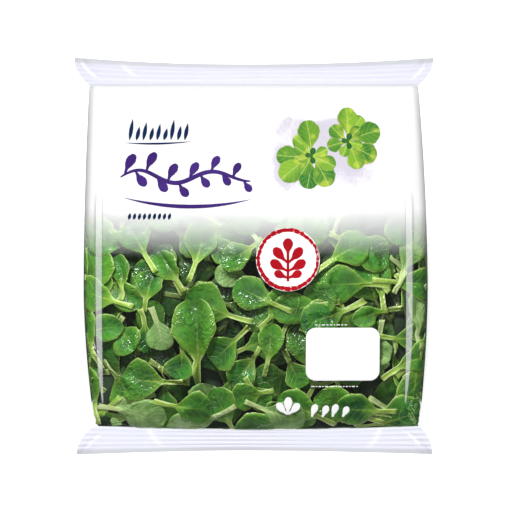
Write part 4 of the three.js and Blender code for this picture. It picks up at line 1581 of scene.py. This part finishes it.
label = disc(LABEL_CENTRE, LABEL_RADIUS, 64, 45, lift=LABEL_LIFT, thickness=PAPER_THICKNESS)
new_piece("round_label_paper", label, [paper_material()], replaces="round_label")
ring = [brush_stroke(*stroke, RING_LIFT + STROKE_STEP * k) for k, stroke in enumerate(STROKES)]
LABEL_LEAVES = (  # base and tip from the label's centre, the leaf's width and its bend: a sprig
    ((0.0, 1.8), (0.0, 12.2), 5.4, 0.0),
    ((0.5, -1.6), (7.8, 6.8), 4.9, -0.15),
    ((-0.5, -1.6), (-7.8, 6.8), 4.9, 0.15),
    ((0.5, -6.4), (9.8, -0.6), 4.9, -0.15),
    ((-0.5, -6.4), (-9.8, -0.6), 4.9, 0.15),
    ((0.4, -10.4), (7.6, -7.0), 4.0, -0.15),
    ((-0.4, -10.4), (-7.6, -7.0), 4.0, 0.15),
)
label_leaves = [spoon_leaf(LABEL_CENTRE + base, LABEL_CENTRE + tip, width, bend,
                           lift=RING_LIFT + SPRIG_STEP * k)[0]
                for k, (base, tip, width, bend) in enumerate(LABEL_LEAVES)]
stem = mark(LABEL_CENTRE + line((0, -12.6), (0, 3.4), 24), np.full(24, 0.75), lift=RING_LIFT, columns=3)
new_piece("red_ring_and_leaves", joined([*ring, *label_leaves, stem]),
          [ink_material("red_ink", "#B80019", "#A80017", 0.5)])

# %% [markdown]
# ## Light and floor
#
# The photograph is lit softly from above, and its background is plain white. One large
# area light hangs over the bag and whitens the film, the print and the floor. It is kept
# out of reflections, as flat film would mirror it over all the leaves. The leaves have
# two lights of their own: a small one from the upper left, for shade and moist glints,
# and a weak large one overhead, for a waxy sheen. Two long, low strip lights stand
# beside the bag, where the taut strips of its film mirror them into the lens.

# %% World, lights and floor
SKY_TOP = 0.15
SKY_SIDE = 0.26
SOFT_POWER = 29.0
SOFT_SIZE = 1.3
SOFT_HEIGHT = 1.5
LEAF_KEY_POWER = 16.5
LEAF_KEY_SIZE = 0.18
LEAF_KEY_PLACE = (-0.25, 0.72, 0.9)
LEAF_SHEEN_POWER = 4.4
LEAF_SHEEN_SIZE = 1.2
LEAF_SHEEN_HEIGHT = 1.4
STRIP_DISTANCE = 0.9
STRIP_TALL = 0.08
STRIP_LONG = 1.7
STRIP_POWER = 0.37
STRIP_TARGET = (0.09, 0.036)  # how far out and how high the strip lights aim
FLOOR_HALF = 3
FLOOR_DROP = 0.0002  # so that it doesn't lie in the bag's own lowest face
FLOOR_GLOW = 0.3  # the white sweep is lit from behind as well


def make_world():
    """A sky whose strength goes from SKY_SIDE at the horizon to SKY_TOP overhead."""
    world = bpy.data.worlds.new("studio")
    world.use_nodes = True
    world.node_tree.nodes.clear()
    way = add(world, "ShaderNodeTexCoord").outputs["Generated"]
    height = add(world, "ShaderNodeSeparateXYZ", {0: way}).outputs["Z"]
    level = add(world, "ShaderNodeMapRange", {0: height, 1: 0.1, 2: 0.9, 3: SKY_SIDE, 4: SKY_TOP})
    sky = add(world, "ShaderNodeBackground", {"Strength": level.outputs[0]})
    add(world, "ShaderNodeOutputWorld", {"Surface": sky.outputs[0]})
    bpy.context.scene.world = world


def area_light(name, place, aim, size, power):
    """A rectangular light at place, in metres, that faces aim; size is across and along."""
    data = bpy.data.lights.new(name, "AREA")
    data.shape = "RECTANGLE"
    data.size, data.size_y = size
    data.energy = power
    light = bpy.data.objects.new(name, data)
    light.location = place
    light.rotation_euler = (Vector(aim) - Vector(place)).to_track_quat("-Z", "Y").to_euler()
    light.visible_camera = False
    bpy.context.scene.collection.objects.link(light)
    return light


def light_only(light, pieces):
    """Lets the light fall on these pieces alone, so that it shines on them and on nothing else."""
    lit = bpy.data.collections.new(f"{light.name}_falls_on")
    for piece in pieces:
        lit.objects.link(piece)
    light.light_linking.receiver_collection = lit


def strip_place(side):
    """Where a strip light has to stand for the taut strip to mirror it into the camera: the way to
    the camera, turned about the strip's normal, is 2 (n . v) n - v."""
    middle = Vector((side * (STRIP_INNER + STRIP_WIDTH / 2), 0, SIDE_LEVEL + 12)) * MM
    normal = Vector((side * STRIP_SLOPES[side > 0], 0, 1)).normalized()
    to_camera = (camera.location - middle).normalized()
    return middle + (2 * normal.dot(to_camera) * normal - to_camera) * STRIP_DISTANCE


make_world()
lamps = {name: area_light(name, place, (0, 0, 0), (size, size), power) for name, place, size, power in (
    ("overhead_light", (-0.05, 0.2, SOFT_HEIGHT), SOFT_SIZE, SOFT_POWER),
    ("leaf_key_light", LEAF_KEY_PLACE, LEAF_KEY_SIZE, LEAF_KEY_POWER),
    ("leaf_sheen_light", (0, 0, LEAF_SHEEN_HEIGHT), LEAF_SHEEN_SIZE, LEAF_SHEEN_POWER),
)}
lamps["overhead_light"].visible_glossy = False
for side in (-1, 1):
    strip = area_light(f"strip_light_{side}", strip_place(side), (side * STRIP_TARGET[0], 0, STRIP_TARGET[1]),
                       (STRIP_LONG, STRIP_TALL), STRIP_POWER)
    strip.visible_diffuse = False
    light_only(strip, [film])


def make_floor():
    """White paper that is lit from behind as well, and that glossy reflections leave out."""
    corners = [(x * FLOOR_HALF, y * FLOOR_HALF, 0) for x, y in ((-1, -1), (1, -1), (1, 1), (-1, 1))]
    mesh = bpy.data.meshes.new("floor")
    mesh.from_pydata(corners, [], [(0, 1, 2, 3)])
    material = new_material("white_paper_floor")
    paper = add(material, "ShaderNodeBsdfDiffuse", {"Color": colour("#FAFAFA")})
    glow = add(material, "ShaderNodeEmission", {"Color": colour("#FFFFFF"), "Strength": FLOOR_GLOW})
    lit = add(material, "ShaderNodeAddShader", {0: paper.outputs[0], 1: glow.outputs[0]})
    mesh.materials.append(finished(material, lit))
    made = bpy.data.objects.new("floor", mesh)
    made.location.z = -FLOOR_DROP
    made.visible_glossy = False
    bpy.context.scene.collection.objects.link(made)
    return made


floor = make_floor()
light_only(lamps["leaf_key_light"], leaf_pieces)
light_only(lamps["leaf_sheen_light"], leaf_pieces)
light_only(lamps["overhead_light"], [floor] + [piece for piece in dressed if piece not in leaf_pieces])
bpy.context.scene.view_settings.view_transform = "Standard"
